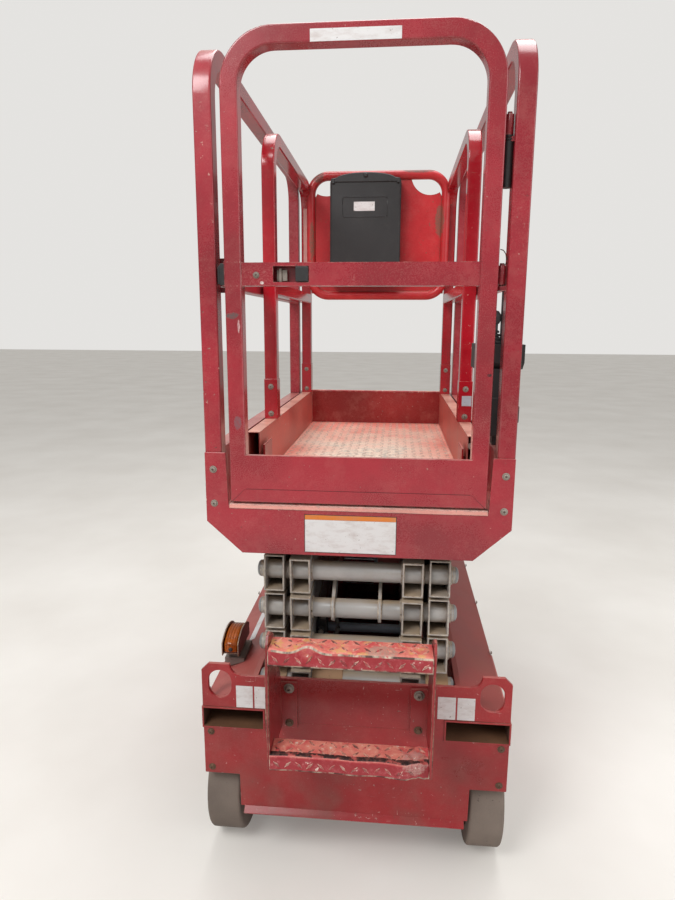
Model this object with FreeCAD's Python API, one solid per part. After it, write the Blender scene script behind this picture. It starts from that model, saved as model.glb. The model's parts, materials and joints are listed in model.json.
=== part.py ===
import FreeCAD, Part
import math
import os

# Compact self-propelled scissor lift, stowed. Millimetres.
# X across (the photo's right), Y forward (the ladder is at the rear), Z up from the ground.

os.makedirs("parts", exist_ok=True)
V = FreeCAD.Vector

# Wheels and axles
HALF_W = 378.0
TYRE_R, TYRE_W, TYRE_OUT = 152.5, 88.0, 2.0
TYRE_X = HALF_W + TYRE_OUT - TYRE_W
RIM_R, RIM_W, HUB_R = 104.0, 78.0, 40.0
AXLE_R, RUN_GAP = 22.5, 0.05
AXLE_Z = TYRE_R
JOIN = 1.0

# Scissor stack
PIN_REAR, PIN_FRONT, PIN_Z, PITCH = -516.0, 689.0, 479.0, 99.0
LEVELS = 4
ARM_LEN = math.hypot(PIN_FRONT - PIN_REAR, PITCH)
ARM_TILT = math.degrees(math.atan2(PITCH, PIN_FRONT - PIN_REAR))
TOP_Z = PIN_Z + LEVELS * PITCH
ARM_GAP = 9.0
ARM_H, ARM_W, ARM_WALL, ARM_END = PITCH - ARM_GAP, 50.0, 4.0, 40.0
INNER_X = 112.0
OUTER_X = INNER_X + ARM_W + 14.0
TUBE_R, TUBE_WALL, CAP_R, CAP_OUT = 24.0, 4.0, 20.5, 7.0
TUBE_END = OUTER_X + ARM_W + 6.0
BRACKET_T, BRACKET_GAP = 8.0, 2.0
BRACKET_X = TUBE_END + BRACKET_GAP
LONG_END = BRACKET_X + BRACKET_T - JOIN
STUB_R = 20.0
PAD_R, PAD_GAP = 28.0, 0.3
TOP_PAD_X0, TOP_PAD_X1 = BRACKET_X, BRACKET_X + 34.0

# Lift cylinder
EYE_R, EYE_ANGLE, EYE_PIN_R, EYE_HALF = 105.0, 40.0, 16.0, 40.0
BARREL_R, ROD_R, EYE_RING_R, ROD_EYE_R = 42.0, 20.0, 38.0, 32.0
GLAND_BACK = 120.0
LUG_X, LUG_T = 58.0, 8.0

# Chassis, with its ends set off from the pins
REAR_Y, FRONT_Y, PLATE_T = PIN_REAR - 85.0, PIN_FRONT + 76.0, 10.0
KEEL_REAR, KEEL_FRONT = REAR_Y + PLATE_T, FRONT_Y - PLATE_T
REAR_AXLE_Y, FRONT_AXLE_Y = REAR_Y + 160.0, FRONT_Y - 165.0
SKIN_X, SKIN_T = HALF_W - 2.0, 6.0
RAIL_X, RAIL_T, RAIL_TOP = BRACKET_X + 16.0, 15.0, PIN_Z + 8.0
TRACK_X, TRACK_TOP, TRACK_T, TRACK_FRONT = OUTER_X - 6.0, PIN_Z - PAD_R - PAD_GAP, 7.7, PIN_REAR + 586.0
BULK_REAR, BULK_FRONT, BULK_T = REAR_Y + 323.0, FRONT_Y - 369.0, 8.0
KEEL_X, KEEL_T, KEEL_Z0, KEEL_Z1 = 117.0, 8.0, 150.0, TRACK_TOP - 45.7
POCKET_X0, POCKET_X1, POCKET_Z1, POCKET_H, POCKET_T = 221.0, HALF_W + 2.0, PIN_Z - 41.0, 58.0, 4.0
POCKET_Z0 = POCKET_Z1 - POCKET_H
YOKE_Z0 = AXLE_Z + TYRE_R + 3.0
YOKE_Z1 = YOKE_Z0 + 12.0
UPPER_Z, UPPER_T = YOKE_Z1 + 32.0, 8.0
KINGPIN_X, KINGPIN_R, KINGPIN_TUBE_R, KINGPIN_TOP = TYRE_X - 34.0, 17.5, 30.0, PIN_Z - 54.0
STEER_Y, STEER_Z, STEER_R, STEER_PIN_R = FRONT_AXLE_Y - 95.0, YOKE_Z1 + 13.0, 10.0, 8.0
SKIRT_Z = AXLE_Z + TYRE_R + 25.0
COVER_T = 4.0
COVER_STEP, COVER_IN = 32.0, RAIL_X + RAIL_T

# Swing-out trays and pothole guards
TRAY_X, TRAY_Y0, TRAY_Y1 = KEEL_X + KEEL_T + 15.0, BULK_REAR + 35.0, BULK_FRONT - 11.0
TRAY_Z0, TRAY_Z1, TRAY_WALL_H = KEEL_Z0 - 5.0, POCKET_Z1 - 43.0, 105.0
TRAY_T, TRAY_LIP = 4.0, POCKET_Z1 - 10.0
TRAY_HINGE_X, TRAY_HINGE_Y, TRAY_PIN_R, TRAY_TUBE_R = SKIN_X - 10.0, TRAY_Y0 - 13.0, 8.0, 13.0
EAR_T, EAR_GAP = 12.0, 3.0
GUARD_X, GUARD_IN, GUARD_Z, GUARD_T, GUARD_PIN_R, GUARD_TUBE_R = HALF_W - 33.0, HALF_W - 128.0, 118.0, 6.0, 6.0, 11.0
GUARD_LOW = GUARD_Z - 10.0

# Platform
DECK_REAR, DECK_FRONT, FLOOR_Z, FLOOR_T = REAR_Y + 26.0, FRONT_Y - 1.0, TOP_Z + 72.0, 5.0
PANEL_T, SILL_Z, PANEL_LOW = 5.0, FLOOR_Z + 8.0, FLOOR_Z - 111.0
PANEL_SIDE_LOW, PANEL_TOP = FLOOR_Z - 34.0, FLOOR_Z + 134.0
RAIL_R, RAIL_WALL, RAIL_BEND, TUBE_CORNER = 20.0, 2.5, 100.0, 4.0
SIDE_X1 = HALF_W - 20.0
SIDE_X0, SIDE_T, LEDGE_Z = SIDE_X1 - 2 * RAIL_R, 4.0, FLOOR_Z + 143.0
RAIL_TOP_Z, MID_Z = FLOOR_Z + 1027.0, FLOOR_Z + 533.0
POST_REAR, POST_FRONT = DECK_REAR + 25.0, DECK_FRONT - 88.0

# Gate
GATE_R, GATE_X, GATE_Y, GATE_BEND = 19.0, SIDE_X0 - 20.0, POST_REAR - 7.0, 95.0
GATE_LOW, GATE_TOP = FLOOR_Z + 16.0, RAIL_TOP_Z + 5.0
GATE_BAR_Z0, GATE_BAR_Z1, GATE_SHEET_TOP = MID_Z - 21.0, MID_Z + 29.0, FLOOR_Z + 129.0
GATE_HINGE_X, GATE_HINGE_Y, GATE_PIN_R, GATE_EYE_R = SIDE_X0 - 10.0, POST_REAR, 5.0, 9.0
GATE_HINGES = (MID_Z - 31.0, MID_Z + 270.0)
HINGE_T, HINGE_R, HINGE_RISE, HINGE_H = 10.0, 8.0, 13.0, 40.0
KEEPER_T, KEEPER_H = 8.0, 12.0

# Extension deck
EXT_X1, EXT_REAR, EXT_FRONT = SIDE_X0 - 8.0, DECK_REAR + 228.0, DECK_FRONT - 25.0
EXT_X0 = EXT_X1 - 35.0
EXT_FLOOR, EXT_T = FLOOR_Z + 5.0, 4.0
EXT_TOP = EXT_FLOOR + 140.0
EXT_R, EXT_BEND, EXT_RAIL_TOP = 19.0, 90.0, RAIL_TOP_Z - 47.0
EXT_POST_REAR, EXT_POST_FRONT, EXT_POST_X = EXT_REAR + 266.0, EXT_FRONT - 40.0, EXT_X1 - 19.0
SOCKET_H = 121.0
HOOP_R, HOOP_Z0, HOOP_Z1, HOOP_BEND = 17.5, MID_Z - 6.0, EXT_RAIL_TOP + 41.0, 70.0
HOOP_X, HOOP_Y = EXT_X1 - 26.0, EXT_POST_FRONT - 37.0


def box(x0, x1, y0, y1, z0, z1):
    return Part.makeBox(x1 - x0, y1 - y0, z1 - z0, V(x0, y0, z0))


def rod_x(radius, x0, x1, y, z):
    return Part.makeCylinder(radius, x1 - x0, V(x0, y, z), V(1, 0, 0))


def rod_y(radius, y0, y1, x, z):
    return Part.makeCylinder(radius, y1 - y0, V(x, y0, z), V(0, 1, 0))


def rod_z(radius, z0, z1, x, y):
    return Part.makeCylinder(radius, z1 - z0, V(x, y, z0), V(0, 0, 1))


def prism(corners, direction):
    face = Part.Face(Part.makePolygon(corners + corners[:1]))
    return face.extrude(direction)


def sheet_x(yz, x0, x1):
    return prism([V(x0, y, z) for y, z in yz], V(x1 - x0, 0, 0))


def sheet_y(xz, y0, y1):
    return prism([V(x, y0, z) for x, z in xz], V(0, y1 - y0, 0))


def sheet_z(xy, z0, z1):
    return prism([V(x, y, z0) for x, y in xy], V(0, 0, z1 - z0))


def mirrored(shape):
    return shape.mirror(V(0, 0, 0), V(1, 0, 0))


def pair(shape):
    return [shape, mirrored(shape)]


def join(shapes):
    first, rest = shapes[0], shapes[1:]
    whole = first.multiFuse(rest) if rest else first
    return whole.removeSplitter()


def less(shape, tools):
    return shape.cut(Part.makeCompound(tools))


def save(name, shape):
    if not shape.isValid():
        print("not valid:", name)
    print(name, len(shape.Solids), round(shape.Volume / 1e6, 3))
    shape.exportStep("parts/" + name + ".step")


def round_section(radius, at, along, side):
    return Part.Face(Part.Wire(Part.makeCircle(radius, at, along)))


def square_section(half, at, along, side):
    """Rounded square across the run. side is one of its two directions."""
    other = along.cross(side).normalize()
    curve = min(TUBE_CORNER, half / 2)
    flat = half - curve
    marks = [(flat, half), (half, flat), (half, -flat), (flat, -half), (-flat, -half), (-half, -flat),
             (-half, flat), (-flat, half)]
    spots = [at + side * a + other * b for a, b in marks]
    lean = flat + curve * math.sqrt(0.5)
    crowns = [at + side * a + other * b for a, b in ((lean, lean), (lean, -lean), (-lean, -lean), (-lean, lean))]
    edges = []
    for n, crown in enumerate(crowns):
        edges.append(Part.Arc(spots[2 * n], crown, spots[2 * n + 1]).toShape())
        edges.append(Part.makeLine(spots[2 * n + 1], spots[(2 * n + 2) % 8]))
    return Part.Face(Part.Wire(edges))


def run(points, bend, size, section, side):
    """A section carried along straight runs and round the bends between them."""
    solids, start = [], points[0]
    for before, corner, after in zip(points, points[1:], points[2:]):
        along, ahead = (corner - before).normalize(), (after - corner).normalize()
        turn = along.getAngle(ahead)
        reach = bend * math.tan(turn / 2)
        first, last = corner - along * reach, corner + ahead * reach
        axis = along.cross(ahead).normalize()
        centre = first + axis.cross(along) * bend
        if (first - start).Length > 0.001:
            solids.append(section(size, start, along, side).extrude(first - start))
        solids.append(section(size, first, along, side).revolve(centre, axis, math.degrees(turn)))
        start = last
    along = (points[-1] - start).normalize()
    solids.append(section(size, start, along, side).extrude(points[-1] - start))
    return join(solids)


def tubing(runs, half, wall, side):
    """Square tubes along several runs, hollow inside. A run is its points and its bend radius."""
    outside = join([run(points, bend, half, square_section, side) for points, bend in runs])
    inside = join([run(points, bend, half - wall, square_section, side) for points, bend in runs])
    return outside.cut(inside)


# Wheels

def tyre(y):
    ring = rod_x(TYRE_R, TYRE_X, TYRE_X + TYRE_W, y, AXLE_Z)
    rounded = ring.makeFillet(8, [e for e in ring.Edges if e.Closed])
    return rounded.cut(rod_x(RIM_R, TYRE_X - 1, TYRE_X + TYRE_W + 1, y, AXLE_Z))


def rim(y):
    middle = TYRE_X + TYRE_W / 2
    x0, x1 = middle - RIM_W / 2, middle + RIM_W / 2
    barrel = rod_x(RIM_R, x0, x1, y, AXLE_Z).cut(rod_x(RIM_R - 9, x0, x1, y, AXLE_Z))
    web = rod_x(RIM_R - 5, middle - 8, middle + 8, y, AXLE_Z)
    hub = rod_x(HUB_R, x0, x1, y, AXLE_Z)
    return join([barrel, web, hub]).cut(rod_x(AXLE_R + RUN_GAP, x0 - 1, x1 + 1, y, AXLE_Z))


def stub_axle(x0, y):
    """Axle end with the retaining cap outside the hub."""
    hub_out = TYRE_X + TYRE_W / 2 + RIM_W / 2
    axle = rod_x(AXLE_R, x0, hub_out + 1.0, y, AXLE_Z)
    return [axle, rod_x(AXLE_R + 8, hub_out + 0.5, hub_out + 4.5, y, AXLE_Z)]


for place, y in (("rear", REAR_AXLE_Y), ("front", FRONT_AXLE_Y)):
    for side, turn in (("right", lambda s: s), ("left", mirrored)):
        save("tyre_" + place + "_" + side, turn(tyre(y)))
        save("rim_" + place + "_" + side, turn(rim(y)))


# Chassis frame

ear_low, ear_high = TRAY_Z0 - EAR_GAP, TRAY_Z1 + EAR_GAP
rear_skin, front_skin = (KEEL_REAR, BULK_REAR), (BULK_FRONT + JOIN, KEEL_FRONT)
bulk_r, bulk_f = (BULK_REAR, BULK_REAR + BULK_T), (BULK_FRONT, BULK_FRONT + BULK_T)
right_side = [
    box(KEEL_X, KEEL_X + KEEL_T, KEEL_REAR, KEEL_FRONT, KEEL_Z0, KEEL_Z1),
    box(RAIL_X, COVER_IN, KEEL_REAR, BULK_REAR, POCKET_Z1 - 2, RAIL_TOP),
    box(RAIL_X, COVER_IN, BULK_REAR, BULK_FRONT, KEEL_Z1, RAIL_TOP),
    box(RAIL_X, COVER_IN, BULK_FRONT, KEEL_FRONT, UPPER_Z, RAIL_TOP),
    box(TRACK_X, RAIL_X + JOIN, KEEL_REAR, TRACK_FRONT, TRACK_TOP - TRACK_T, TRACK_TOP),
    box(BRACKET_X, BRACKET_X + BRACKET_T, PIN_FRONT - 40, PIN_FRONT + 40, UPPER_Z + UPPER_T - JOIN, PIN_Z + 36),
    box(BRACKET_X + BRACKET_T - JOIN, RAIL_X + JOIN, PIN_FRONT - 40, PIN_FRONT + 40, PIN_Z - 89, PIN_Z - 49),
    rod_z(KINGPIN_TUBE_R, YOKE_Z1 + 2, KINGPIN_TOP, KINGPIN_X, FRONT_AXLE_Y),
    box(SKIN_X - SKIN_T, SKIN_X, *rear_skin, SKIRT_Z, POCKET_Z0 + JOIN),
    box(SKIN_X - SKIN_T, SKIN_X, *front_skin, SKIRT_Z, POCKET_Z1),
    box(RAIL_X, SKIN_X - 2, *bulk_f, SKIRT_Z, TRAY_LIP + 6),
    box(GUARD_X - 15, SKIN_X + 2, BULK_REAR + JOIN, TRAY_HINGE_Y + EAR_T, ear_low - EAR_T, ear_low),
    box(GUARD_X - 15, SKIN_X + 2, BULK_REAR + JOIN, TRAY_HINGE_Y + EAR_T, ear_high, ear_high + EAR_T),
    rod_z(TRAY_PIN_R, ear_low - EAR_T, ear_high + EAR_T, TRAY_HINGE_X, TRAY_HINGE_Y),
    box(KEEL_X + JOIN, COVER_IN, *bulk_r, KEEL_Z0 + 10, KEEL_Z1),
    box(TRACK_X, COVER_IN, *bulk_r, KEEL_Z1 - JOIN, TRACK_TOP - 2),
    box(RAIL_X, GUARD_X - 5, *bulk_r, GUARD_LOW + 2, POCKET_Z1),
    box(GUARD_X - 6, SKIN_X - 2, *bulk_r, ear_low - EAR_T, ear_low),
    box(GUARD_X - 6, SKIN_X - 2, *bulk_r, ear_high, POCKET_Z1),
    box(KEEL_X + JOIN, COVER_IN, *bulk_f, KEEL_Z0 + 10, KEEL_Z1),
    box(RAIL_X - JOIN, GUARD_X - 5, *bulk_f, GUARD_LOW + 2, SKIRT_Z + 10),
]
guard_rear, guard_front = BULK_REAR + BULK_T + 8, BULK_FRONT - 8
for y0, y1 in ((bulk_r[1] - JOIN, guard_rear), (guard_front, BULK_FRONT + JOIN)):
    right_side.append(box(GUARD_IN + 5, GUARD_X + 10, y0, y1, GUARD_LOW, GUARD_LOW + 28))
right_side.append(rod_y(GUARD_PIN_R, bulk_r[1], BULK_FRONT, GUARD_X, GUARD_Z))
pocket_tube = box(POCKET_X0, POCKET_X1, REAR_Y - 2, BULK_REAR + JOIN, POCKET_Z0, POCKET_Z1)
frame = []
for shape in right_side + [pocket_tube]:
    frame += pair(shape)
frame += [
    box(-KEEL_X - JOIN, KEEL_X + JOIN, KEEL_REAR, KEEL_FRONT, KEEL_Z0, KEEL_Z0 + 8),
    box(-RAIL_X - JOIN, RAIL_X + JOIN, *front_skin, UPPER_Z, UPPER_Z + UPPER_T),
    box(10 - TYRE_X, TYRE_X - 10, REAR_AXLE_Y - 40, REAR_AXLE_Y + 40, AXLE_Z - 42, AXLE_Z + 42),
]
for shape in stub_axle(TYRE_X - 11, REAR_AXLE_Y):
    frame += pair(shape)
inside = box(POCKET_X0 + POCKET_T, POCKET_X1 - POCKET_T, REAR_Y - 3, BULK_REAR, POCKET_Z0 + POCKET_T,
             POCKET_Z1 - POCKET_T)
tie_way = box(KEEL_X - JOIN, KEEL_X + KEEL_T + JOIN, STEER_Y - 22, STEER_Y + 70, STEER_Z - 17, STEER_Z + 16)
bores = [tie_way, rod_x(TUBE_R + RUN_GAP, BRACKET_X - 14, RAIL_X - 0.1, PIN_FRONT, PIN_Z),
         rod_z(KINGPIN_R + RUN_GAP, YOKE_Z0, KINGPIN_TOP - 6, KINGPIN_X, FRONT_AXLE_Y),
         inside]
chassis = join(frame)
chassis = less(chassis, [s for b in bores for s in pair(b)])
save("chassis_frame", chassis)

# Rear plate with its lugs, oval holes and the flared bottom edge
LOW_X, LOW_Z, ARCH_Z, FLARE = TYRE_X - 5.0, KEEL_Z0 + 10.0, KEEL_Z0 + 101.0, 13.0
HOLE_X, HOLE_R, HOLE_Z = HALF_W - 45.5, 28.5, POCKET_Z1 + 63.0
lug_top = HOLE_Z + 54
curve = [(HALF_W - 71 - 22 * (1 - math.cos(a)), lug_top - 27 * math.sin(a)) for a in
         [math.radians(15 * n) for n in range(7)]]
half = [(LOW_X, LOW_Z), (LOW_X + 1.5, ARCH_Z), (HALF_W, ARCH_Z), (HALF_W, lug_top - 18), (HALF_W - 18, lug_top),
        *curve, (HALF_W - 98, lug_top - 29)]
outline = half + [(-x, z) for x, z in reversed(half)]
plate = sheet_y(outline, REAR_Y, REAR_Y + PLATE_T)
lip = sheet_x([(REAR_Y, LOW_Z + 1), (REAR_Y, LOW_Z), (REAR_Y - FLARE, LOW_Z - FLARE),
               (REAR_Y - FLARE + PLATE_T, LOW_Z - FLARE), (REAR_Y + PLATE_T, LOW_Z), (REAR_Y + PLATE_T, LOW_Z + 1)],
              9 - LOW_X, LOW_X - 9)
holes = []
for x in (-HOLE_X, HOLE_X):
    holes += [box(x - HOLE_R, x + HOLE_R, REAR_Y - 1, REAR_Y + PLATE_T + 1, HOLE_Z - 8.5, HOLE_Z + 8.5),
              rod_y(HOLE_R, REAR_Y - 1, REAR_Y + PLATE_T + 1, x, HOLE_Z - 8.5),
              rod_y(HOLE_R, REAR_Y - 1, REAR_Y + PLATE_T + 1, x, HOLE_Z + 8.5)]
slot = box(POCKET_X0, POCKET_X1, REAR_Y - 1, REAR_Y + PLATE_T + 1, POCKET_Z0, POCKET_Z1)
save("rear_plate", less(join([plate, lip]), holes + pair(slot)))

# Entry ladder, its two steps standing clear of the plate behind them
LADDER_Y, LADDER_X, LADDER_T, STEP_DEPTH, STEP_LIP = REAR_Y - 164.0, 178.0, 6.0, 62.0, 34.0
STEPS = (PIN_Z - 49.0, PIN_Z + 206.0)
side_low, side_top = STEPS[0] - STEP_LIP, STEPS[1] + 28
cheek = sheet_x([(LADDER_Y, side_low), (REAR_Y, side_low), (REAR_Y, PIN_Z + 43), (REAR_Y - 92, STEPS[1] + 8),
                 (LADDER_Y + 34, side_top), (LADDER_Y + 16, side_top), (LADDER_Y, STEPS[1] + 8)],
                LADDER_X, LADDER_X + LADDER_T)
flange = box(LADDER_X - 40, LADDER_X + JOIN, REAR_Y - LADDER_T, REAR_Y, side_low, PIN_Z + 41)
ladder = pair(cheek) + pair(flange)
for z in STEPS:
    across = (-LADDER_X - JOIN, LADDER_X + JOIN)
    ladder += [box(*across, LADDER_Y, LADDER_Y + STEP_DEPTH, z - LADDER_T, z),
               box(*across, LADDER_Y, LADDER_Y + LADDER_T, z - STEP_LIP, z - LADDER_T + JOIN),
               box(*across, LADDER_Y + STEP_DEPTH - LADDER_T, LADDER_Y + STEP_DEPTH, z - 18, z - LADDER_T + JOIN)]
save("ladder", join(ladder))

# Front plate, narrow below so that the steered wheels clear it
step_z = POCKET_Z1 + (RAIL_TOP - POCKET_Z1) * 0.3
front = [(KEEL_X + KEEL_T, KEEL_Z0), (KEEL_X + KEEL_T, SKIRT_Z - 10), (RAIL_X, SKIRT_Z), (SKIN_X, SKIRT_Z),
         (SKIN_X, POCKET_Z1), (SKIN_X - COVER_STEP + 1, step_z), (COVER_IN, RAIL_TOP)]
save("front_plate", sheet_y(front + [(-x, z) for x, z in reversed(front)], KEEL_FRONT, FRONT_Y))

# Sloped side covers
cover_rise = COVER_T * 0.8
low_in = [(COVER_IN, RAIL_TOP), (SKIN_X - COVER_STEP + 1, step_z), (SKIN_X - 3, POCKET_Z1 + 3),
          (SKIN_X - 3, POCKET_Z1)]
up_out = [(SKIN_X, POCKET_Z1), (SKIN_X, POCKET_Z1 + 4), (SKIN_X - COVER_STEP, step_z + cover_rise),
          (COVER_IN - 1, RAIL_TOP + cover_rise), (RAIL_X, RAIL_TOP + cover_rise), (RAIL_X, RAIL_TOP)]
cover = sheet_y(up_out + low_in, KEEL_REAR + 2, KEEL_FRONT)
save("side_cover_right", cover)
save("side_cover_left", mirrored(cover))

# Beacon on the left cover: a long lens with a domed top between two guard plates, on a wedge
BEACON_X, BEACON_Y, BEACON_Z = 36.0 - SKIN_X, REAR_Y + 194.0, POCKET_Z1 + 44.0
BEACON_W, BEACON_HALF, BEACON_BACK, BEACON_RISE = 36.0, 60.0, 42.0, 30.0


def cover_z(x):
    """Height of the left cover's upper face."""
    break_x, break_z = COVER_STEP - SKIN_X, step_z + cover_rise
    if x < break_x:
        return POCKET_Z1 + 4 + (break_z - POCKET_Z1 - 4) * (x + SKIN_X) / COVER_STEP
    return break_z + (RAIL_TOP + cover_rise - break_z) * (x - break_x) / (1 - COVER_IN - break_x)


def domed(half, x0, x1, low, shoulder):
    """Upright block whose top is one arc along Y."""
    a, b = V(x0, BEACON_Y - half, shoulder), V(x0, BEACON_Y + half, shoulder)
    arc = Part.Arc(a, V(x0, BEACON_Y, shoulder + BEACON_RISE), b).toShape()
    sides = Part.makePolygon([b, V(x0, BEACON_Y + half, low), V(x0, BEACON_Y - half, low), a])
    return Part.Face(Part.Wire([arc] + sides.Edges)).extrude(V(x1 - x0, 0, 0))


lens_x0, lens_x1, lens_z = BEACON_X - BEACON_W / 2, BEACON_X + BEACON_W / 2, BEACON_Z + BEACON_BACK
wedge_x = [lens_x0 - 6, COVER_STEP - SKIN_X, lens_x1 + 8]
wedge = sheet_y([(x, cover_z(x)) for x in wedge_x] + [(wedge_x[2], BEACON_Z), (wedge_x[0], BEACON_Z)],
                BEACON_Y - BEACON_HALF - 8, BEACON_Y + BEACON_HALF + 8)
plates = [domed(BEACON_HALF + 5, x, x + 3, BEACON_Z - JOIN, lens_z + 7) for x in (lens_x0 - 5, lens_x1 + 2)]
save("beacon_bracket", join(plates + [wedge]))
lens = domed(BEACON_HALF, lens_x0, lens_x1, BEACON_Z, lens_z)
rims = [e for e in lens.Edges if e.BoundBox.ZMax > lens_z + 5 and e.BoundBox.XLength < 1]
save("beacon_lens", lens.makeFillet(5, rims))

# Swing-out trays with their heavy blocks
NOTCH_X, NOTCH_Y, BLOCK_GAP = HALF_W - 93.0, TRAY_Y1 - 40.0, 12.0


def plan(t, back):
    """The tray's plan inside a wall t thick. The inner front corner is cut off to clear the wheel."""
    return [(TRAY_X + t, TRAY_Y0 + t), (SKIN_X - t - back, TRAY_Y0 + t), (SKIN_X - t - back, TRAY_Y1 - t - back),
            (NOTCH_X + t, TRAY_Y1 - t - back), (TRAY_X + t, NOTCH_Y - t / 5 - back)]


shell = sheet_z(plan(0, 0), TRAY_Z0, TRAY_Z0 + TRAY_WALL_H)
shell = shell.cut(sheet_z(plan(TRAY_T, 0), TRAY_Z0 + TRAY_T, TRAY_Z0 + TRAY_WALL_H + 1))
outer = box(SKIN_X - TRAY_T, SKIN_X, TRAY_Y0, TRAY_Y1, TRAY_Z0, TRAY_Z1)
ledge = box(SKIN_X - TRAY_T, SKIN_X, TRAY_Y0 + 30, TRAY_Y1, TRAY_Z1 - JOIN, TRAY_LIP)
hinge = rod_z(TRAY_TUBE_R, TRAY_Z0 + 5, TRAY_Z1 - 5, TRAY_HINGE_X, TRAY_HINGE_Y)
web = box(TRAY_HINGE_X - 12, TRAY_HINGE_X + 10, TRAY_HINGE_Y, TRAY_Y0 + JOIN, TRAY_Z0 + 5, TRAY_Z1 - 5)
rear_wall = box(SKIN_X - 58, SKIN_X, TRAY_Y0, TRAY_Y0 + TRAY_T, TRAY_Z0, TRAY_Z1)
tray = join([shell, outer, ledge, hinge, web, rear_wall])
tray = tray.cut(rod_z(TRAY_PIN_R + RUN_GAP, TRAY_Z0, TRAY_Z1, TRAY_HINGE_X, TRAY_HINGE_Y))
save("tray_right", tray)
save("tray_left", mirrored(tray))
block = sheet_z(plan(BLOCK_GAP, 6), TRAY_Z0 + TRAY_T, TRAY_Z1 - 10)
save("battery_block", mirrored(block))
save("power_unit_block", block)

# Pothole guards, folded inward at rest, on rods between the bulkheads
guard_y0, guard_y1 = guard_rear + 6, guard_front - 6
guard = join([box(GUARD_IN, GUARD_X, guard_y0, guard_y1, GUARD_Z - GUARD_T, GUARD_Z),
              rod_y(GUARD_TUBE_R, guard_y0, guard_y1, GUARD_X, GUARD_Z)])
guard = guard.cut(rod_y(GUARD_PIN_R + RUN_GAP, guard_y0, guard_y1, GUARD_X, GUARD_Z))
save("guard_right", guard)
save("guard_left", mirrored(guard))

# Steering
inner_x, arm_half = KINGPIN_X + 10, 40
knuckle = [rod_z(KINGPIN_R, YOKE_Z0, KINGPIN_TOP - 12, KINGPIN_X, FRONT_AXLE_Y),
           box(KINGPIN_X - 28, inner_x + 14, FRONT_AXLE_Y - arm_half, FRONT_AXLE_Y + arm_half, YOKE_Z0, YOKE_Z1),
           box(inner_x, inner_x + 14, FRONT_AXLE_Y - arm_half, FRONT_AXLE_Y + arm_half, AXLE_Z - 52.5, YOKE_Z1),
           box(KINGPIN_X - 16, KINGPIN_X + 16, STEER_Y - 14, FRONT_AXLE_Y - 30, YOKE_Z0, YOKE_Z1),
           rod_z(STEER_PIN_R, YOKE_Z0, STEER_Z + 14, KINGPIN_X, STEER_Y)]
knuckle = join(knuckle + stub_axle(inner_x, FRONT_AXLE_Y))
save("knuckle_right", knuckle)
save("knuckle_left", mirrored(knuckle))
ends = [rod_z(14.0, STEER_Z - 11, STEER_Z + 11, x, STEER_Y) for x in (-KINGPIN_X, KINGPIN_X)]
tie = join([rod_x(STEER_R, -KINGPIN_X, KINGPIN_X, STEER_Y, STEER_Z)] + ends)
save("tie_rod", less(tie, [rod_z(STEER_PIN_R + RUN_GAP, STEER_Z - 20, STEER_Z + 20, x, STEER_Y)
                           for x in (-KINGPIN_X, KINGPIN_X)]))


# Scissor arms, laid along +Y from the lower pin and then turned into place

def beam(x0):
    outside = box(x0, x0 + ARM_W, -ARM_END, ARM_LEN + ARM_END, -ARM_H / 2, ARM_H / 2)
    hollow = box(x0 + ARM_WALL, x0 + ARM_W - ARM_WALL, -ARM_END - 1, ARM_LEN + ARM_END + 1,
                 -ARM_H / 2 + ARM_WALL, ARM_H / 2 - ARM_WALL)
    return outside.cut(hollow)


def cross_tube(y, end):
    """Welded cross tube with a smaller cap on each end."""
    tube = rod_x(TUBE_R, -end, end, y, 0).cut(rod_x(TUBE_R - TUBE_WALL, -end - 1, end + 1, y, 0))
    caps = [rod_x(CAP_R, x0, x1, y, 0) for x0, x1 in ((-end - CAP_OUT, -end + 6), (end - 6, end + CAP_OUT))]
    return [tube] + caps


def bored(shape, y, radius=TUBE_R):
    return shape.cut(rod_x(radius + RUN_GAP, -HALF_W, HALF_W, y, 0))


def placed(shape, level, outer):
    shape = shape.copy()
    if outer:
        shape.rotate(V(0, 0, 0), V(1, 0, 0), 180 - ARM_TILT)
        shape.translate(V(0, PIN_FRONT, PIN_Z + PITCH * (level - 1)))
    else:
        shape.rotate(V(0, 0, 0), V(1, 0, 0), ARM_TILT)
        shape.translate(V(0, PIN_REAR, PIN_Z + PITCH * (level - 1)))
    return shape


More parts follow.
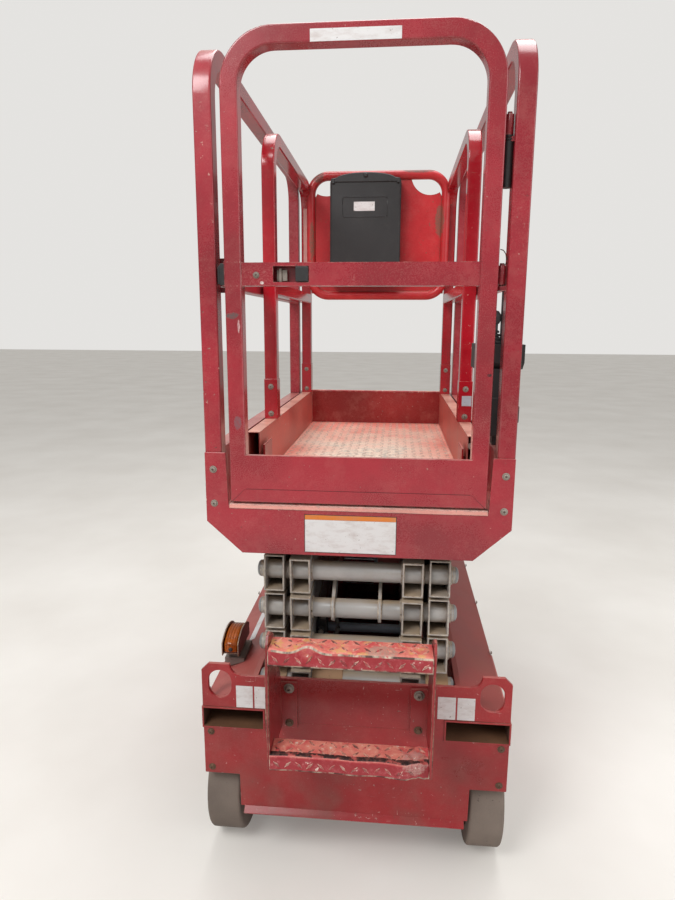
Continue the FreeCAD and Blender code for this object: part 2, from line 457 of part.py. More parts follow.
for level in range(1, LEVELS + 1):
    # Outer arm, from the front pin of one level up to the rear pin of the next
    beams = Part.makeCompound(pair(beam(OUTER_X)))
    holes = [ARM_LEN / 2]
    tubes = []
    if level == 1:
        tubes += cross_tube(0, LONG_END)
        holes.append(ARM_LEN)
    elif level == LEVELS:
        tubes += cross_tube(ARM_LEN, TOP_PAD_X1 + JOIN)
        holes.append(0)
    else:
        holes += [0, ARM_LEN]
    outer = beams
    for y in holes:
        outer = bored(outer, y, STUB_R if y == ARM_LEN / 2 else TUBE_R)
    if tubes:
        outer = join(outer.Solids + tubes)
    save("arm_outer_%d" % level, placed(outer, level, True))

    # Inner arm, from the rear pin of one level up to the front pin of the next
    tubes = cross_tube(0, TUBE_END) + cross_tube(ARM_LEN, LONG_END if level == LEVELS else TUBE_END)
    stubs = [rod_x(STUB_R, INNER_X, TUBE_END + 6, ARM_LEN / 2, 0)]
    solids = pair(beam(INNER_X)) + tubes + [s for b in stubs for s in pair(b)]
    if level == 3:
        turn = math.radians(EYE_ANGLE - ARM_TILT)
        eye_y, eye_z = EYE_R * math.cos(turn), EYE_R * math.sin(turn)
        for x in (-LUG_X - LUG_T / 2, LUG_X - LUG_T / 2):
            strap = sheet_x([(-20, 20), (eye_y - 18, eye_z + 20), (eye_y + 18, eye_z - 20), (20, -20)],
                            x, x + LUG_T)
            solids += [strap, rod_x(TUBE_R + 8, x, x + LUG_T, 0, 0), rod_x(27, x, x + LUG_T, eye_y, eye_z)]
    inner = join(solids)
    if level == 3:
        inner = inner.cut(rod_x(EYE_PIN_R, -INNER_X, INNER_X, eye_y, eye_z))
        inner = inner.cut(rod_x(TUBE_R - TUBE_WALL, -LUG_X - 20, LUG_X + 20, 0, 0))
    save("arm_inner_%d" % level, placed(inner, level, False))

# Slide pads on the ends of the lowest and highest cross tubes


def pad(x0, x1, y, z):
    return rod_x(PAD_R, x0, x1, y, z).cut(rod_x(TUBE_R, x0 - 1, x1 + 1, y, z))


save("slide_pads_base", Part.makeCompound(pair(pad(OUTER_X, TUBE_END, PIN_REAR, PIN_Z))))
save("slide_pads_platform", Part.makeCompound(pair(pad(TOP_PAD_X0, TOP_PAD_X1, PIN_REAR, TOP_Z))))

# Lift cylinder, laid along +Y from the eye on the front tube and then turned into place
foot = V(0, PIN_FRONT, PIN_Z + PITCH)
head = V(0, PIN_REAR + EYE_R * math.cos(math.radians(EYE_ANGLE)),
         PIN_Z + 2 * PITCH + EYE_R * math.sin(math.radians(EYE_ANGLE)))
reach = (head - foot).Length
lean = math.degrees(math.atan2(head.z - foot.z, head.y - foot.y))
gland = reach - GLAND_BACK
print("cylinder", round(reach, 3), round(lean, 4))


def laid(shape):
    shape = shape.copy()
    shape.rotate(V(0, 0, 0), V(1, 0, 0), lean)
    shape.translate(foot)
    return shape


barrel = join([rod_x(EYE_RING_R, -EYE_HALF, EYE_HALF, 0, 0), box(-30, 30, 0, 60, -25, 25), rod_y(BARREL_R, 50, gland, 0, 0),
               rod_y(BARREL_R + 4, gland - 40, gland, 0, 0)])
barrel = less(barrel, [rod_x(TUBE_R + RUN_GAP, -50, 50, 0, 0), rod_y(ROD_R + RUN_GAP, gland - 330, gland + 1, 0, 0)])
save("lift_barrel", laid(barrel))
piston = join([rod_y(ROD_R, gland - 320, reach - 20, 0, 0), rod_x(ROD_EYE_R, -EYE_HALF, EYE_HALF, reach, 0)])
save("lift_rod", laid(piston.cut(rod_x(EYE_PIN_R, -50, 50, reach, 0))))

# Platform frame: floor, ribs, front apron, slide tracks and the front pin brackets
floor_low = FLOOR_Z - FLOOR_T
over_pad = TOP_Z + PAD_R + PAD_GAP
deck = [box(-SIDE_X0, SIDE_X0, DECK_REAR + PANEL_T, DECK_FRONT, floor_low, FLOOR_Z),
        box(-SIDE_X0, SIDE_X0, DECK_FRONT - 8, DECK_FRONT, FLOOR_Z - 85, floor_low + JOIN)]
for y in (TRACK_FRONT + 80, TRACK_FRONT + 280, TRACK_FRONT + 490):
    deck.append(box(-SIDE_X0, SIDE_X0, y, y + 40, FLOOR_Z - 21, floor_low + JOIN))
side = [box(TOP_PAD_X0 - 4, TOP_PAD_X1 + 12, DECK_REAR + 15, TRACK_FRONT, over_pad, over_pad + 6),
        box(TOP_PAD_X0 - 4, TOP_PAD_X0 + 2, DECK_REAR + 15, TRACK_FRONT, over_pad, floor_low + JOIN),
        box(TOP_PAD_X1 + 6, TOP_PAD_X1 + 12, DECK_REAR + 15, TRACK_FRONT, over_pad, floor_low + JOIN),
        box(BRACKET_X, BRACKET_X + BRACKET_T, PIN_FRONT - 36, PIN_FRONT + 36, TOP_Z - 30, floor_low + JOIN)]
for shape in side:
    deck += pair(shape)
deck = less(join(deck), pair(rod_x(TUBE_R + RUN_GAP, BRACKET_X - 9, BRACKET_X + 18, PIN_FRONT, TOP_Z)))
save("platform_frame", deck)

half = [(HALF_W - 105, PANEL_LOW), (SIDE_X1, PANEL_SIDE_LOW), (SIDE_X1, PANEL_TOP), (SIDE_X0 - 10, PANEL_TOP),
        (SIDE_X0 - 14, SILL_Z)]
save("platform_rear_panel",
     sheet_y(half + [(-x, z) for x, z in reversed(half)], DECK_REAR, DECK_REAR + PANEL_T))
channel_rear = POST_REAR + RAIL_R
channel = box(SIDE_X0, SIDE_X1, channel_rear, DECK_FRONT, PANEL_SIDE_LOW, LEDGE_Z)
channel = channel.cut(box(SIDE_X0 + SIDE_T, SIDE_X1 - SIDE_T, channel_rear - 1, DECK_FRONT + 1,
                          PANEL_SIDE_LOW + SIDE_T, LEDGE_Z - SIDE_T))
save("platform_side_right", channel)
save("platform_side_left", mirrored(channel))


# Main rails
ACROSS, ALONG = V(1, 0, 0), V(0, 1, 0)
bar_z = RAIL_TOP_Z - RAIL_R


def main_rail(sign):
    """Main rail of one side, and the inside of its bent tube to keep clear."""
    x = sign * (SIDE_X0 + SIDE_X1) / 2
    loop = [V(x, POST_REAR, PANEL_SIDE_LOW), V(x, POST_REAR, bar_z), V(x, POST_FRONT, bar_z),
            V(x, POST_FRONT, LEDGE_Z)]
    mid = [V(x, POST_REAR, MID_Z), V(x, POST_FRONT, MID_Z)]
    return (tubing([(loop, RAIL_BEND), (mid, RAIL_BEND)], RAIL_R, RAIL_WALL, ACROSS),
            run(loop, RAIL_BEND, RAIL_R - RAIL_WALL, square_section, ACROSS))


behind = POST_REAR + RAIL_R
keepers = [box(-SIDE_X1 - 7, -GATE_X - 6, behind, behind + KEEPER_T, z, z + KEEPER_H)
           for z in (GATE_BAR_Z0 - KEEPER_H - 1, GATE_BAR_Z1 + 1)]
lugs = [join([rod_z(HINGE_R, z, z + HINGE_T, GATE_HINGE_X, GATE_HINGE_Y),
              box(GATE_HINGE_X, SIDE_X0 + 6, GATE_HINGE_Y - HINGE_R, GATE_HINGE_Y + HINGE_R, z, z + HINGE_T)])
        for z in GATE_HINGES]
pins = [rod_z(GATE_PIN_R, z + 5, z + HINGE_RISE + HINGE_H + 5, GATE_HINGE_X, GATE_HINGE_Y) for z in GATE_HINGES]
rails, bore = main_rail(1)
save("main_rail_right", less(join([rails] + lugs + pins), [bore]))
rails, bore = main_rail(-1)
save("main_rail_left", rails.cut(bore))
save("gate_keepers", Part.makeCompound(keepers))

# Control box on the right mid rail, its junction box and joystick, and the cable box above the ledge
CONTROL_Y, CONTROL_X0, CONTROL_X1 = POST_REAR + 70.0, SIDE_X0 - 46.0, SIDE_X1 + 24.0
CONTROL_Z0, CONTROL_Z1 = MID_Z - 206.0, MID_Z - 148.0
control = sheet_x([(CONTROL_Y, CONTROL_Z0 + 16), (CONTROL_Y + 20, CONTROL_Z0), (CONTROL_Y + 110, CONTROL_Z0),
                   (CONTROL_Y + 110, CONTROL_Z1), (CONTROL_Y, CONTROL_Z1)], CONTROL_X0, CONTROL_X1)
stick = rod_z(13.0, CONTROL_Z1 - JOIN, CONTROL_Z1 + 50, SIDE_X0 - 8, CONTROL_Y + 40)
boot = Part.makeCone(24.0, 13.0, 26.0, V(SIDE_X0 - 8, CONTROL_Y + 40, CONTROL_Z1 - JOIN), V(0, 0, 1))
hanger = box(SIDE_X0 + 12, SIDE_X0 + 28, CONTROL_Y + 30, CONTROL_Y + 50, CONTROL_Z1 - JOIN, MID_Z - RAIL_R)
neck = box(SIDE_X0 - 12, SIDE_X0 + 20, CONTROL_Y + 4, CONTROL_Y + 60, CONTROL_Z0 - 66, CONTROL_Z0 + JOIN)
save("control_box", join([control, stick, boot, hanger, neck]))
lower = [box(SIDE_X0 - 16, SIDE_X1 + 6, CONTROL_Y, CONTROL_Y + 60, LEDGE_Z + 26, CONTROL_Z0 - 66),
         box(SIDE_X0 + 2, SIDE_X1 - 2, CONTROL_Y + 26, CONTROL_Y + 56, LEDGE_Z, LEDGE_Z + 27),
         box(SIDE_X1, SIDE_X1 + 20, CONTROL_Y + 5, CONTROL_Y + 50, LEDGE_Z + 58, LEDGE_Z + 98)]
save("lower_box", join(lower))

# Gate
gate_x = GATE_X - GATE_R
low, high = GATE_LOW + GATE_R, GATE_TOP - GATE_R
frame_run = [V(-gate_x, GATE_Y, GATE_LOW), V(-gate_x, GATE_Y, high), V(gate_x, GATE_Y, high),
             V(gate_x, GATE_Y, GATE_LOW)]


def gate_loop(radius):
    """Posts and top in one bent tube, with the bottom rail mitred between them."""
    r = GATE_R + 1
    posts = run(frame_run, GATE_BEND, radius, square_section, ALONG)
    foot = run([V(-GATE_X, GATE_Y, low), V(GATE_X, GATE_Y, low)], 0, radius, square_section, ALONG)
    under = sheet_y([(gate_x + r, low - r), (gate_x - r, low + r), (-gate_x + r, low + r), (-gate_x - r, low - r)],
                    GATE_Y - 30, GATE_Y + 30)
    return posts.cut(under).fuse(foot.common(under))


SLOT_X0, SLOT_X1, BAR_BACK, BAR_OUT = 109.0 - GATE_X, 188.0 - GATE_X, 14.0, 16.0
gate = gate_loop(GATE_R).removeSplitter().cut(gate_loop(GATE_R - RAIL_WALL))
bar = box(-GATE_X - 3, gate_x - 12, GATE_Y - BAR_OUT, GATE_Y + BAR_BACK, GATE_BAR_Z0, GATE_BAR_Z1)
bar = bar.cut(box(-GATE_X - 4, gate_x - 15, GATE_Y - BAR_OUT + 3, GATE_Y + BAR_BACK - 3, GATE_BAR_Z0 + 3,
                  GATE_BAR_Z1 - 3))
bar = bar.cut(box(SLOT_X0, SLOT_X1, GATE_Y - BAR_OUT - 4, GATE_Y, GATE_BAR_Z0 + 8, GATE_BAR_Z1 - 8))
toe = join([box(-gate_x, gate_x, GATE_Y - GATE_R, GATE_Y - GATE_R + 4, low, GATE_SHEET_TOP),
            box(-gate_x, gate_x, GATE_Y - GATE_R, GATE_Y - GATE_R + 12, GATE_SHEET_TOP - 3, GATE_SHEET_TOP)])
eyes = [join([rod_z(GATE_EYE_R, z + HINGE_RISE, z + HINGE_RISE + HINGE_H, GATE_HINGE_X, GATE_HINGE_Y),
              box(gate_x + 10, GATE_HINGE_X, GATE_HINGE_Y - 5, GATE_HINGE_Y + 5, z + HINGE_RISE,
                  z + HINGE_RISE + HINGE_H)])
        for z in GATE_HINGES]
gate = join([gate, bar, toe] + eyes)
gate = less(gate, [rod_z(GATE_PIN_R + RUN_GAP, z, z + 70, GATE_HINGE_X, GATE_HINGE_Y) for z in GATE_HINGES])
save("gate_frame", gate)
save("gate_latch", box(SLOT_X1 - 29, SLOT_X1 - 1, GATE_Y - BAR_OUT - 4, GATE_Y + BAR_BACK - 3, GATE_BAR_Z0 + 9,
                       GATE_BAR_Z1 - 9))
save("gate_spring", rod_z(SIDE_X0 - GATE_HINGE_X, GATE_HINGES[1] - 90, GATE_HINGES[1], GATE_HINGE_X, GATE_HINGE_Y))

# Extension deck
toe_board = box(-EXT_X1, EXT_X1, EXT_FRONT, EXT_FRONT + 6, EXT_FLOOR, EXT_TOP)
ext = [box(-EXT_X1, EXT_X1, EXT_REAR, EXT_FRONT, EXT_FLOOR, EXT_FLOOR + EXT_T), toe_board]
glide = (EXT_X0 + 5, EXT_X1 - 5)
for shape in (box(EXT_X0, EXT_X1, EXT_REAR, EXT_FRONT, EXT_FLOOR, EXT_TOP).cut(
        box(EXT_X0 + 3, EXT_X1 - 3, EXT_REAR - 1, EXT_FRONT + 1, EXT_FLOOR + EXT_T, EXT_TOP - 3)),
        box(*glide, EXT_REAR, EXT_REAR + 60, FLOOR_Z + 0.2, EXT_FLOOR + 1),
        box(*glide, EXT_FRONT - 60, EXT_FRONT, FLOOR_Z + 0.2, EXT_FLOOR + 1)):
    ext += pair(shape)
save("extension_deck", join(ext))

ext_z = EXT_RAIL_TOP - EXT_R


def extension_loop(x):
    return [V(x, EXT_POST_REAR, EXT_TOP), V(x, EXT_POST_REAR, ext_z), V(x, EXT_POST_FRONT, ext_z),
            V(x, EXT_POST_FRONT, EXT_TOP)]


def extension_rail(x):
    loop = extension_loop(x)
    mid = [V(x, EXT_POST_REAR, MID_Z), V(x, EXT_POST_FRONT, MID_Z)]
    rails = tubing([(loop, EXT_BEND), (mid, EXT_BEND)], EXT_R, RAIL_WALL, ACROSS)
    sockets = [box(x - EXT_R - 1, x + EXT_R + 1, y - EXT_R - 3, y + EXT_R + 3, EXT_TOP, EXT_TOP + SOCKET_H)
               for y in (EXT_POST_REAR, EXT_POST_FRONT)]
    return join([rails] + sockets).cut(run(loop, EXT_BEND, EXT_R - RAIL_WALL, square_section, ACROSS))


save("extension_rail_right", extension_rail(EXT_POST_X))
save("extension_rail_left", extension_rail(-EXT_POST_X))

# Front hoop with its sheet, bitten out round both top corners
hoop_x, hoop_low, hoop_high = HOOP_X - HOOP_R, HOOP_Z0 + HOOP_R, HOOP_Z1 - HOOP_R
hoop_run = [V(0, HOOP_Y, hoop_low), V(hoop_x, HOOP_Y, hoop_low), V(hoop_x, HOOP_Y, hoop_high),
            V(-hoop_x, HOOP_Y, hoop_high), V(-hoop_x, HOOP_Y, hoop_low), V(0, HOOP_Y, hoop_low)]
hoop = run(hoop_run, HOOP_BEND, HOOP_R, round_section, ALONG)
TAB_H, BITE_R, SHEET_T = 40.0, 75.0, 3.0
tabs = []
for z in (HOOP_Z0 + 86, HOOP_Z1 - 128):
    for x in (-EXT_POST_X, EXT_POST_X):
        tabs.append(box(min(x, x * 0.9), max(x, x * 0.9), HOOP_Y + 4, EXT_POST_FRONT, z, z + TAB_H))
bite_x, sheet_side = hoop_x - 62, hoop_high - 110
sheet = sheet_y([(-hoop_x, hoop_low + 8), (hoop_x, hoop_low + 8), (hoop_x, sheet_side), (bite_x, hoop_high),
                 (-bite_x, hoop_high), (-hoop_x, sheet_side)], HOOP_Y - SHEET_T / 2, HOOP_Y + SHEET_T / 2)
bites = [rod_y(BITE_R, HOOP_Y - SHEET_T, HOOP_Y + SHEET_T, x, hoop_high) for x in (-bite_x, bite_x)]
posts = [run(extension_loop(x), EXT_BEND, EXT_R, square_section, ACROSS) for x in (-EXT_POST_X, EXT_POST_X)]
panel = join([hoop, less(sheet, bites)] + tabs)
save("front_hoop", less(panel, posts))

# Document box with an arched lid
DOC_X0, DOC_X1, DOC_DEPTH, DOC_Z0, DOC_Z1 = -192.0, 99.0, 70.0, HOOP_Z0 + 36.0, HOOP_Z1 - 63.0
LID_RISE = 27.0
doc_y1 = HOOP_Y - SHEET_T / 2
doc_y0 = doc_y1 - DOC_DEPTH
body = box(DOC_X0, DOC_X1, doc_y0, doc_y1, DOC_Z0, DOC_Z1)
arch = Part.Arc(V(DOC_X0 + 8, doc_y0 - 4, DOC_Z1 - 1), V((DOC_X0 + DOC_X1) / 2, doc_y0 - 4, DOC_Z1 + LID_RISE),
                V(DOC_X1 - 8, doc_y0 - 4, DOC_Z1 - 1)).toShape()
chord = Part.makeLine(V(DOC_X1 - 8, doc_y0 - 4, DOC_Z1 - 1), V(DOC_X0 + 8, doc_y0 - 4, DOC_Z1 - 1))
lid = Part.Face(Part.Wire([arch, chord])).extrude(V(0, DOC_DEPTH + 4, 0))
save("document_box", less(join([body, lid]), [hoop]))
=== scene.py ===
import bpy
import bmesh
import json
import math
import random
from mathutils import Matrix, Vector, noise


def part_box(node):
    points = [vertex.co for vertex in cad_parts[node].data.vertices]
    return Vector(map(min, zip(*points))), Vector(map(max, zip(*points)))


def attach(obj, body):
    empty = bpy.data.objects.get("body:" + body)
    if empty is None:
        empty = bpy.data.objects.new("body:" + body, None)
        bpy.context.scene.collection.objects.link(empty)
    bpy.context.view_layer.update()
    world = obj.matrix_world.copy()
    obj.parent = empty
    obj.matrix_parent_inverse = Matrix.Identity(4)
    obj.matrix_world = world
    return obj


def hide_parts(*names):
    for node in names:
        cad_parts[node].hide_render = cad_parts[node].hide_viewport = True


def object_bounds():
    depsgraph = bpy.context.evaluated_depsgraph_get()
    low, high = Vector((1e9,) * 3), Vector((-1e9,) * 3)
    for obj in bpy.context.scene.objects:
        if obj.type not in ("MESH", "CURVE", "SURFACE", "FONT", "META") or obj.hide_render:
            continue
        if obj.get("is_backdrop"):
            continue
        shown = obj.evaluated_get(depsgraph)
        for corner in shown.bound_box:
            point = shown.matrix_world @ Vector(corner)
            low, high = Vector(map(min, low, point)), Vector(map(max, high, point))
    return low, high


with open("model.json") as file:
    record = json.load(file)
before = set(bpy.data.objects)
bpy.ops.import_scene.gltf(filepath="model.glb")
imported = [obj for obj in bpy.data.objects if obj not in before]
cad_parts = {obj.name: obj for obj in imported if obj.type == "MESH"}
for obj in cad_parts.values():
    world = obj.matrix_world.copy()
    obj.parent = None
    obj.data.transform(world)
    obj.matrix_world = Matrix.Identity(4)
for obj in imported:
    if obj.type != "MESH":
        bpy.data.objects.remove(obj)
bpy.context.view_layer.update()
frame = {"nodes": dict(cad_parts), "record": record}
nodes = frame["nodes"]

# Camera solved from the photograph: place in metres, aim in degrees
CAMERA_AT = Vector((0.084, -1.997, 1.377))
CAMERA_YAW, CAMERA_PITCH, CAMERA_ROLL = 5.17, -11.24, 0.26
FOCAL_PX, FRAME_H_PX, SENSOR = 634.0, 900.0, 36.0

# Places of the scissor stack, metres
PIN_REAR, PIN_FRONT, PIN_Z, PITCH, LEVELS = -0.516, 0.689, 0.479, 0.099, 4
CAP_R = 0.0205

# Flat faces that trim stands on, as their Y: rear plate, platform's rear panel and gate
PLATE_Y, PANEL_Y, GATE_Y = -0.601, -0.575, -0.576
RIGHT, FRONT, REAR, UP = (1, 0, 0), (0, 1, 0), (0, -1, 0), (0, 0, 1)

scene = bpy.context.scene
scene.view_settings.view_transform = "Standard"


def linear(r, g, b):
    """Linear colour of an 8-bit sRGB one."""
    def channel(v):
        v /= 255.0
        return v / 12.92 if v <= 0.04045 else ((v + 0.055) / 1.055) ** 2.4
    return (channel(r), channel(g), channel(b), 1.0)


# Materials

class Tree:
    """A material's nodes, made and joined in one call each."""

    def __init__(self, name):
        self.material = bpy.data.materials.new(name)
        self.material.use_nodes = True
        self.nodes = self.material.node_tree.nodes
        self.links = self.material.node_tree.links
        self.shader = self.nodes["Principled BSDF"]
        self.place = self.node("TexCoord", {}, "Object")

    def node(self, kind, inputs, output, **settings):
        """Output of a new node with these inputs and settings."""
        node = self.nodes.new("ShaderNode" + kind)
        for key, value in settings.items():
            setattr(node, key, value)
        for key, value in inputs.items():
            self.feed(node.inputs[key], value)
        return node.outputs[output]

    def feed(self, socket, value):
        """Join a socket to an output, or set it. A tuple of three is an 8-bit colour."""
        if isinstance(value, bpy.types.NodeSocket):
            self.links.new(value, socket)
        elif isinstance(value, tuple) and len(value) == 3:
            socket.default_value = linear(*value)
        else:
            socket.default_value = value

    def noise(self, scale, detail=3.0, rough=0.5, stretch=None):
        place = self.place
        if stretch:
            place = self.node("Mapping", {"Vector": place, "Scale": Vector(stretch)}, "Vector")
        grain = {"Vector": place, "Scale": scale, "Detail": detail, "Roughness": rough}
        return self.node("TexNoise", grain, "Fac")

    def ramp(self, value, low, high):
        """0 at low and 1 at high."""
        return self.node("MapRange", {"Value": value, "From Min": low, "From Max": high}, "Result",
                         clamp=True)

    def blots(self, low, high, *grain):
        """Noise of that grain, 0 up to low and 1 from high."""
        return self.ramp(self.noise(*grain), low, high)

    def maths(self, kind, a, b=0.0):
        return self.node("Math", {0: a, 1: b}, 0, operation=kind)

    def vector(self, kind, a, b, output=0):
        return self.node("VectorMath", {0: a, 1: b}, output, operation=kind)

    def times(self, *values):
        whole = values[0]
        for value in values[1:]:
            whole = self.maths("MULTIPLY", whole, value)
        return whole

    def plus(self, a, b):
        return self.maths("ADD", a, b)

    def most(self, a, b):
        return self.maths("MAXIMUM", a, b)

    def mix(self, share, a, b):
        return self.node("Mix", {"Factor": share, "A": a, "B": b}, "Result", data_type="RGBA")

    def edges(self, radius):
        """1 on edges, where the rounded normal leaves the flat one."""
        rounded = self.node("Bevel", {"Radius": radius}, "Normal", samples=4)
        flat = self.node("NewGeometry", {}, "True Normal")
        return self.ramp(self.vector("DOT_PRODUCT", rounded, flat, "Value"), 0.985, 0.86)

    def corners(self, reach):
        """1 in the open, 0 in corners and gaps, by ambient occlusion: the mask of the painted shade in
        corners.
        """
        return self.node("AmbientOcclusion", {"Distance": reach}, "AO", samples=4, only_local=False)

    def facing(self, axis, low, high):
        normal = self.node("NewGeometry", {}, "Normal")
        return self.ramp(self.node("SeparateXYZ", {0: normal}, axis), low, high)

    def coordinate(self, axis):
        return self.node("SeparateXYZ", {0: self.place}, axis)

    def spot(self, centre, reach):
        """1 inside a ragged blot round a point, its reach in X, Y and Z."""
        away = self.vector("DIVIDE", self.vector("SUBTRACT", self.place, Vector(centre)), Vector(reach))
        size = self.vector("LENGTH", away, Vector(), "Value")
        ragged = self.maths("ADD", size, self.times(self.noise(110.0, 5.0, 0.7), 1.1))
        return self.times(self.ramp(ragged, 1.5, 1.3), self.ramp(self.noise(300.0, 4.0, 0.7), 0.3, 0.56))

    def bump(self, value, strength, distance=0.001):
        relief = {"Height": value, "Strength": strength, "Distance": distance}
        self.feed(self.shader.inputs["Normal"], self.node("Bump", relief, "Normal"))

    def finish(self, colour, rough, metal=0.0):
        self.feed(self.shader.inputs["Base Color"], colour)
        self.feed(self.shader.inputs["Roughness"], rough)
        self.feed(self.shader.inputs["Metallic"], metal)
        return self.material


def paint(name, colour, dust=None, dust_share=0.0, worn=None, wear=0.5, rough=0.38, chips=0.0, edge=0.0016,
          grime=0.0, dust_and_sheen=0.0, scratch=0.0, grain=0.06, corner=None, pale=None, coat=0.0, marks=()):
    """Worn paint: uneven colour, a pale speckle of dust and painted sheen, dust on top, bare edges, chips,
    scratches, painted shade in the corners.
    """
    t = Tree(name)
    large, small = t.noise(4.0, 4.0), t.noise(55.0, 4.0, 0.6)
    base = linear(*colour)[:3]
    dark = tuple(c * 0.72 for c in base) + (1.0,)
    light = tuple(min(1.0, c * 1.16) for c in base) + (1.0,)
    shade = t.mix(t.ramp(large, 0.36, 0.64), dark, light)
    shade = t.mix(t.times(t.ramp(small, 0.48, 0.72), 0.22), shade, dark)
    gloss = t.plus(t.times(t.ramp(large, 0.2, 0.8), 0.16), rough - 0.08)
    # Pale speckle: partly dust, partly painted sheen, a pale haze standing in for light on the paint
    if dust_and_sheen:
        speckle_and_sheen = t.times(t.blots(0.42, 0.7, 420.0, 2.0), t.blots(0.2, 0.8, 7.0, 4.0), dust_and_sheen)
        shade = t.mix(speckle_and_sheen, shade, dust or pale)
        gloss = t.plus(gloss, t.times(speckle_and_sheen, 0.5))
    if grime:
        share = t.times(t.ramp(t.coordinate("Z"), 0.5, 0.1), t.blots(0.4, 0.7, 14.0, 5.0), grime)
        shade = t.mix(share, shade, (112, 88, 76))
    # Painted shade: the corner colour darkens corners and gaps where ambient occlusion finds them
    if corner:
        share = t.times(t.ramp(t.corners(0.03), 0.75, 0.3), t.blots(0.3, 0.65, 26.0, 5.0), corner[1])
        shade = t.mix(share, shade, corner[0])
    if dust:
        patch = t.blots(0.25, 0.75, 9.0, 6.0, 0.62)
        share = t.times(t.facing("Z", 0.72, 0.97), t.plus(patch, 0.4), dust_share)
        haze = t.times(t.blots(0.5, 0.9, 20.0, 6.0, 0.7), dust_share * 0.3)
        share = t.maths("MINIMUM", t.plus(share, haze), 1.0)
        shade = t.mix(share, shade, dust)
        gloss = t.plus(gloss, t.times(share, 0.35))
    if worn:
        rub = t.ramp(t.noise(34.0, 6.0, 0.7), 0.64 - 0.28 * wear, 0.7 - 0.22 * wear)
        share = t.times(t.edges(edge), rub)
        if chips:
            spots = t.ramp(t.noise(85.0, 3.0, 0.6), 0.72 - 0.04 * chips, 0.735 - 0.04 * chips)
            share = t.most(share, t.times(spots, t.blots(0.42, 0.6, 4.0, 2.0)))
        if scratch:
            for stretch in ((1.0, 1.0, 12.0), (9.0, 1.0, 1.6)):
                lines = t.blots(0.72, 0.745, 36.0, 2.0, 0.5, stretch)
                share = t.most(share, t.times(lines, t.blots(0.5, 0.66, 6.0, 2.0), scratch))
        tone = t.mix(t.blots(0.4, 0.6, 90.0, 3.0), worn, pale or worn)
        shade = t.mix(share, shade, tone)
        gloss = t.plus(gloss, t.times(share, 0.3))
    for centre, reach, tone in marks:
        share = t.spot(centre, reach)
        shade = t.mix(share, shade, tone)
        gloss = t.plus(gloss, t.times(share, 0.3))
    t.bump(t.plus(t.times(t.noise(230.0, 2.0), 1.0), t.times(t.noise(24.0, 3.0), 0.6)), grain, 0.0007)
    t.feed(t.shader.inputs["Coat Weight"], coat)
    t.feed(t.shader.inputs["Coat Roughness"], 0.16)
    return t.finish(shade, gloss)


RED = (160, 30, 46)
DUST = (226, 166, 152)
RUST, CUT = (98, 60, 42), (206, 188, 160)

# In the finishes below, the corner colours are painted shade in corners and gaps, and the pale speckle film
# is dust with painted sheen
red = paint("red paint", RED, DUST, 0.5, (84, 50, 44), 0.7, 0.28, 1.2, edge=0.0022, grime=0.3, dust_and_sheen=0.14,
            scratch=0.45, corner=((84, 30, 30), 0.7), pale=(206, 150, 140), coat=0.5)
make = {"red_paint": red,
        "dark_red_paint": paint("dark red paint", (84, 24, 20), (120, 110, 104), 0.8, CUT, 1.1, 0.42, 0.4,
                                edge=0.003),
        "grey_paint": paint("grey paint", (172, 169, 166), (166, 144, 118), 0.8, CUT, 1.15, 0.34, 0.6,
                            edge=0.0034, dust_and_sheen=0.14, scratch=0.3, corner=((124, 98, 76), 0.7),
                            pale=(136, 104, 76)),
        "cylinder_paint": paint("cylinder paint", (112, 120, 132), (160, 150, 140), 0.3, RUST, 0.4, 0.3),
        "slide_pad": paint("slide pad", (176, 140, 102), (170, 150, 130), 0.5, (90, 70, 50), 0.5, 0.6),
        "rim": paint("rim paint", (70, 68, 66), (130, 120, 110), 0.4, RUST, 0.6, 0.5),
        "battery_case": paint("battery case", (34, 34, 35), (110, 104, 98), 0.5, (60, 60, 60), 0.4, 0.5),
        "power_unit": paint("power unit", (44, 44, 46), (120, 110, 100), 0.4, RUST, 0.5, 0.45),
        "black_plastic": paint("black plastic", (40, 39, 40), (120, 118, 116), 0.3, (84, 84, 84), 0.4, 0.5,
                               dust_and_sheen=0.1, scratch=0.2, pale=(110, 110, 110)),
        "tyre": paint("tyre rubber", (126, 113, 104), (150, 138, 126), 0.5, (84, 74, 68), 0.7, 0.85, 0.5,
                      edge=0.004, dust_and_sheen=0.3, scratch=0.3, grain=0.25),
        }


def chrome():
    t = Tree("chromed rod")
    shade = t.mix(t.blots(0.4, 0.7, 30.0, 3.0, 0.5, (8.0, 1.0, 1.0)), (196, 198, 202), (150, 150, 152))
    return t.finish(shade, t.plus(t.times(t.noise(60.0), 0.12), 0.1), 1.0)


def amber():
    t = Tree("amber lens")
    shade = t.mix(t.blots(0.35, 0.7, 40.0, 3.0), (206, 104, 16), (156, 70, 12))
    material = t.finish(shade, 0.18)
    t.shader.inputs["Transmission Weight"].default_value = 0.25
    t.shader.inputs["IOR"].default_value = 1.49
    t.bump(t.noise(120.0, 2.0), 0.1, 0.0004)
    return material


def sticker(name, colour, dirt):
    t = Tree(name)
    wipes = t.blots(0.46, 0.78, 30.0, 5.0, 0.65, (1.0, 1.0, 2.5))
    specks = t.blots(0.68, 0.72, 160.0, 3.0)
    shade = t.mix(t.times(wipes, dirt), colour, (172, 150, 142))
    return t.finish(t.mix(t.times(specks, 0.7), shade, (110, 84, 78)), 0.42)


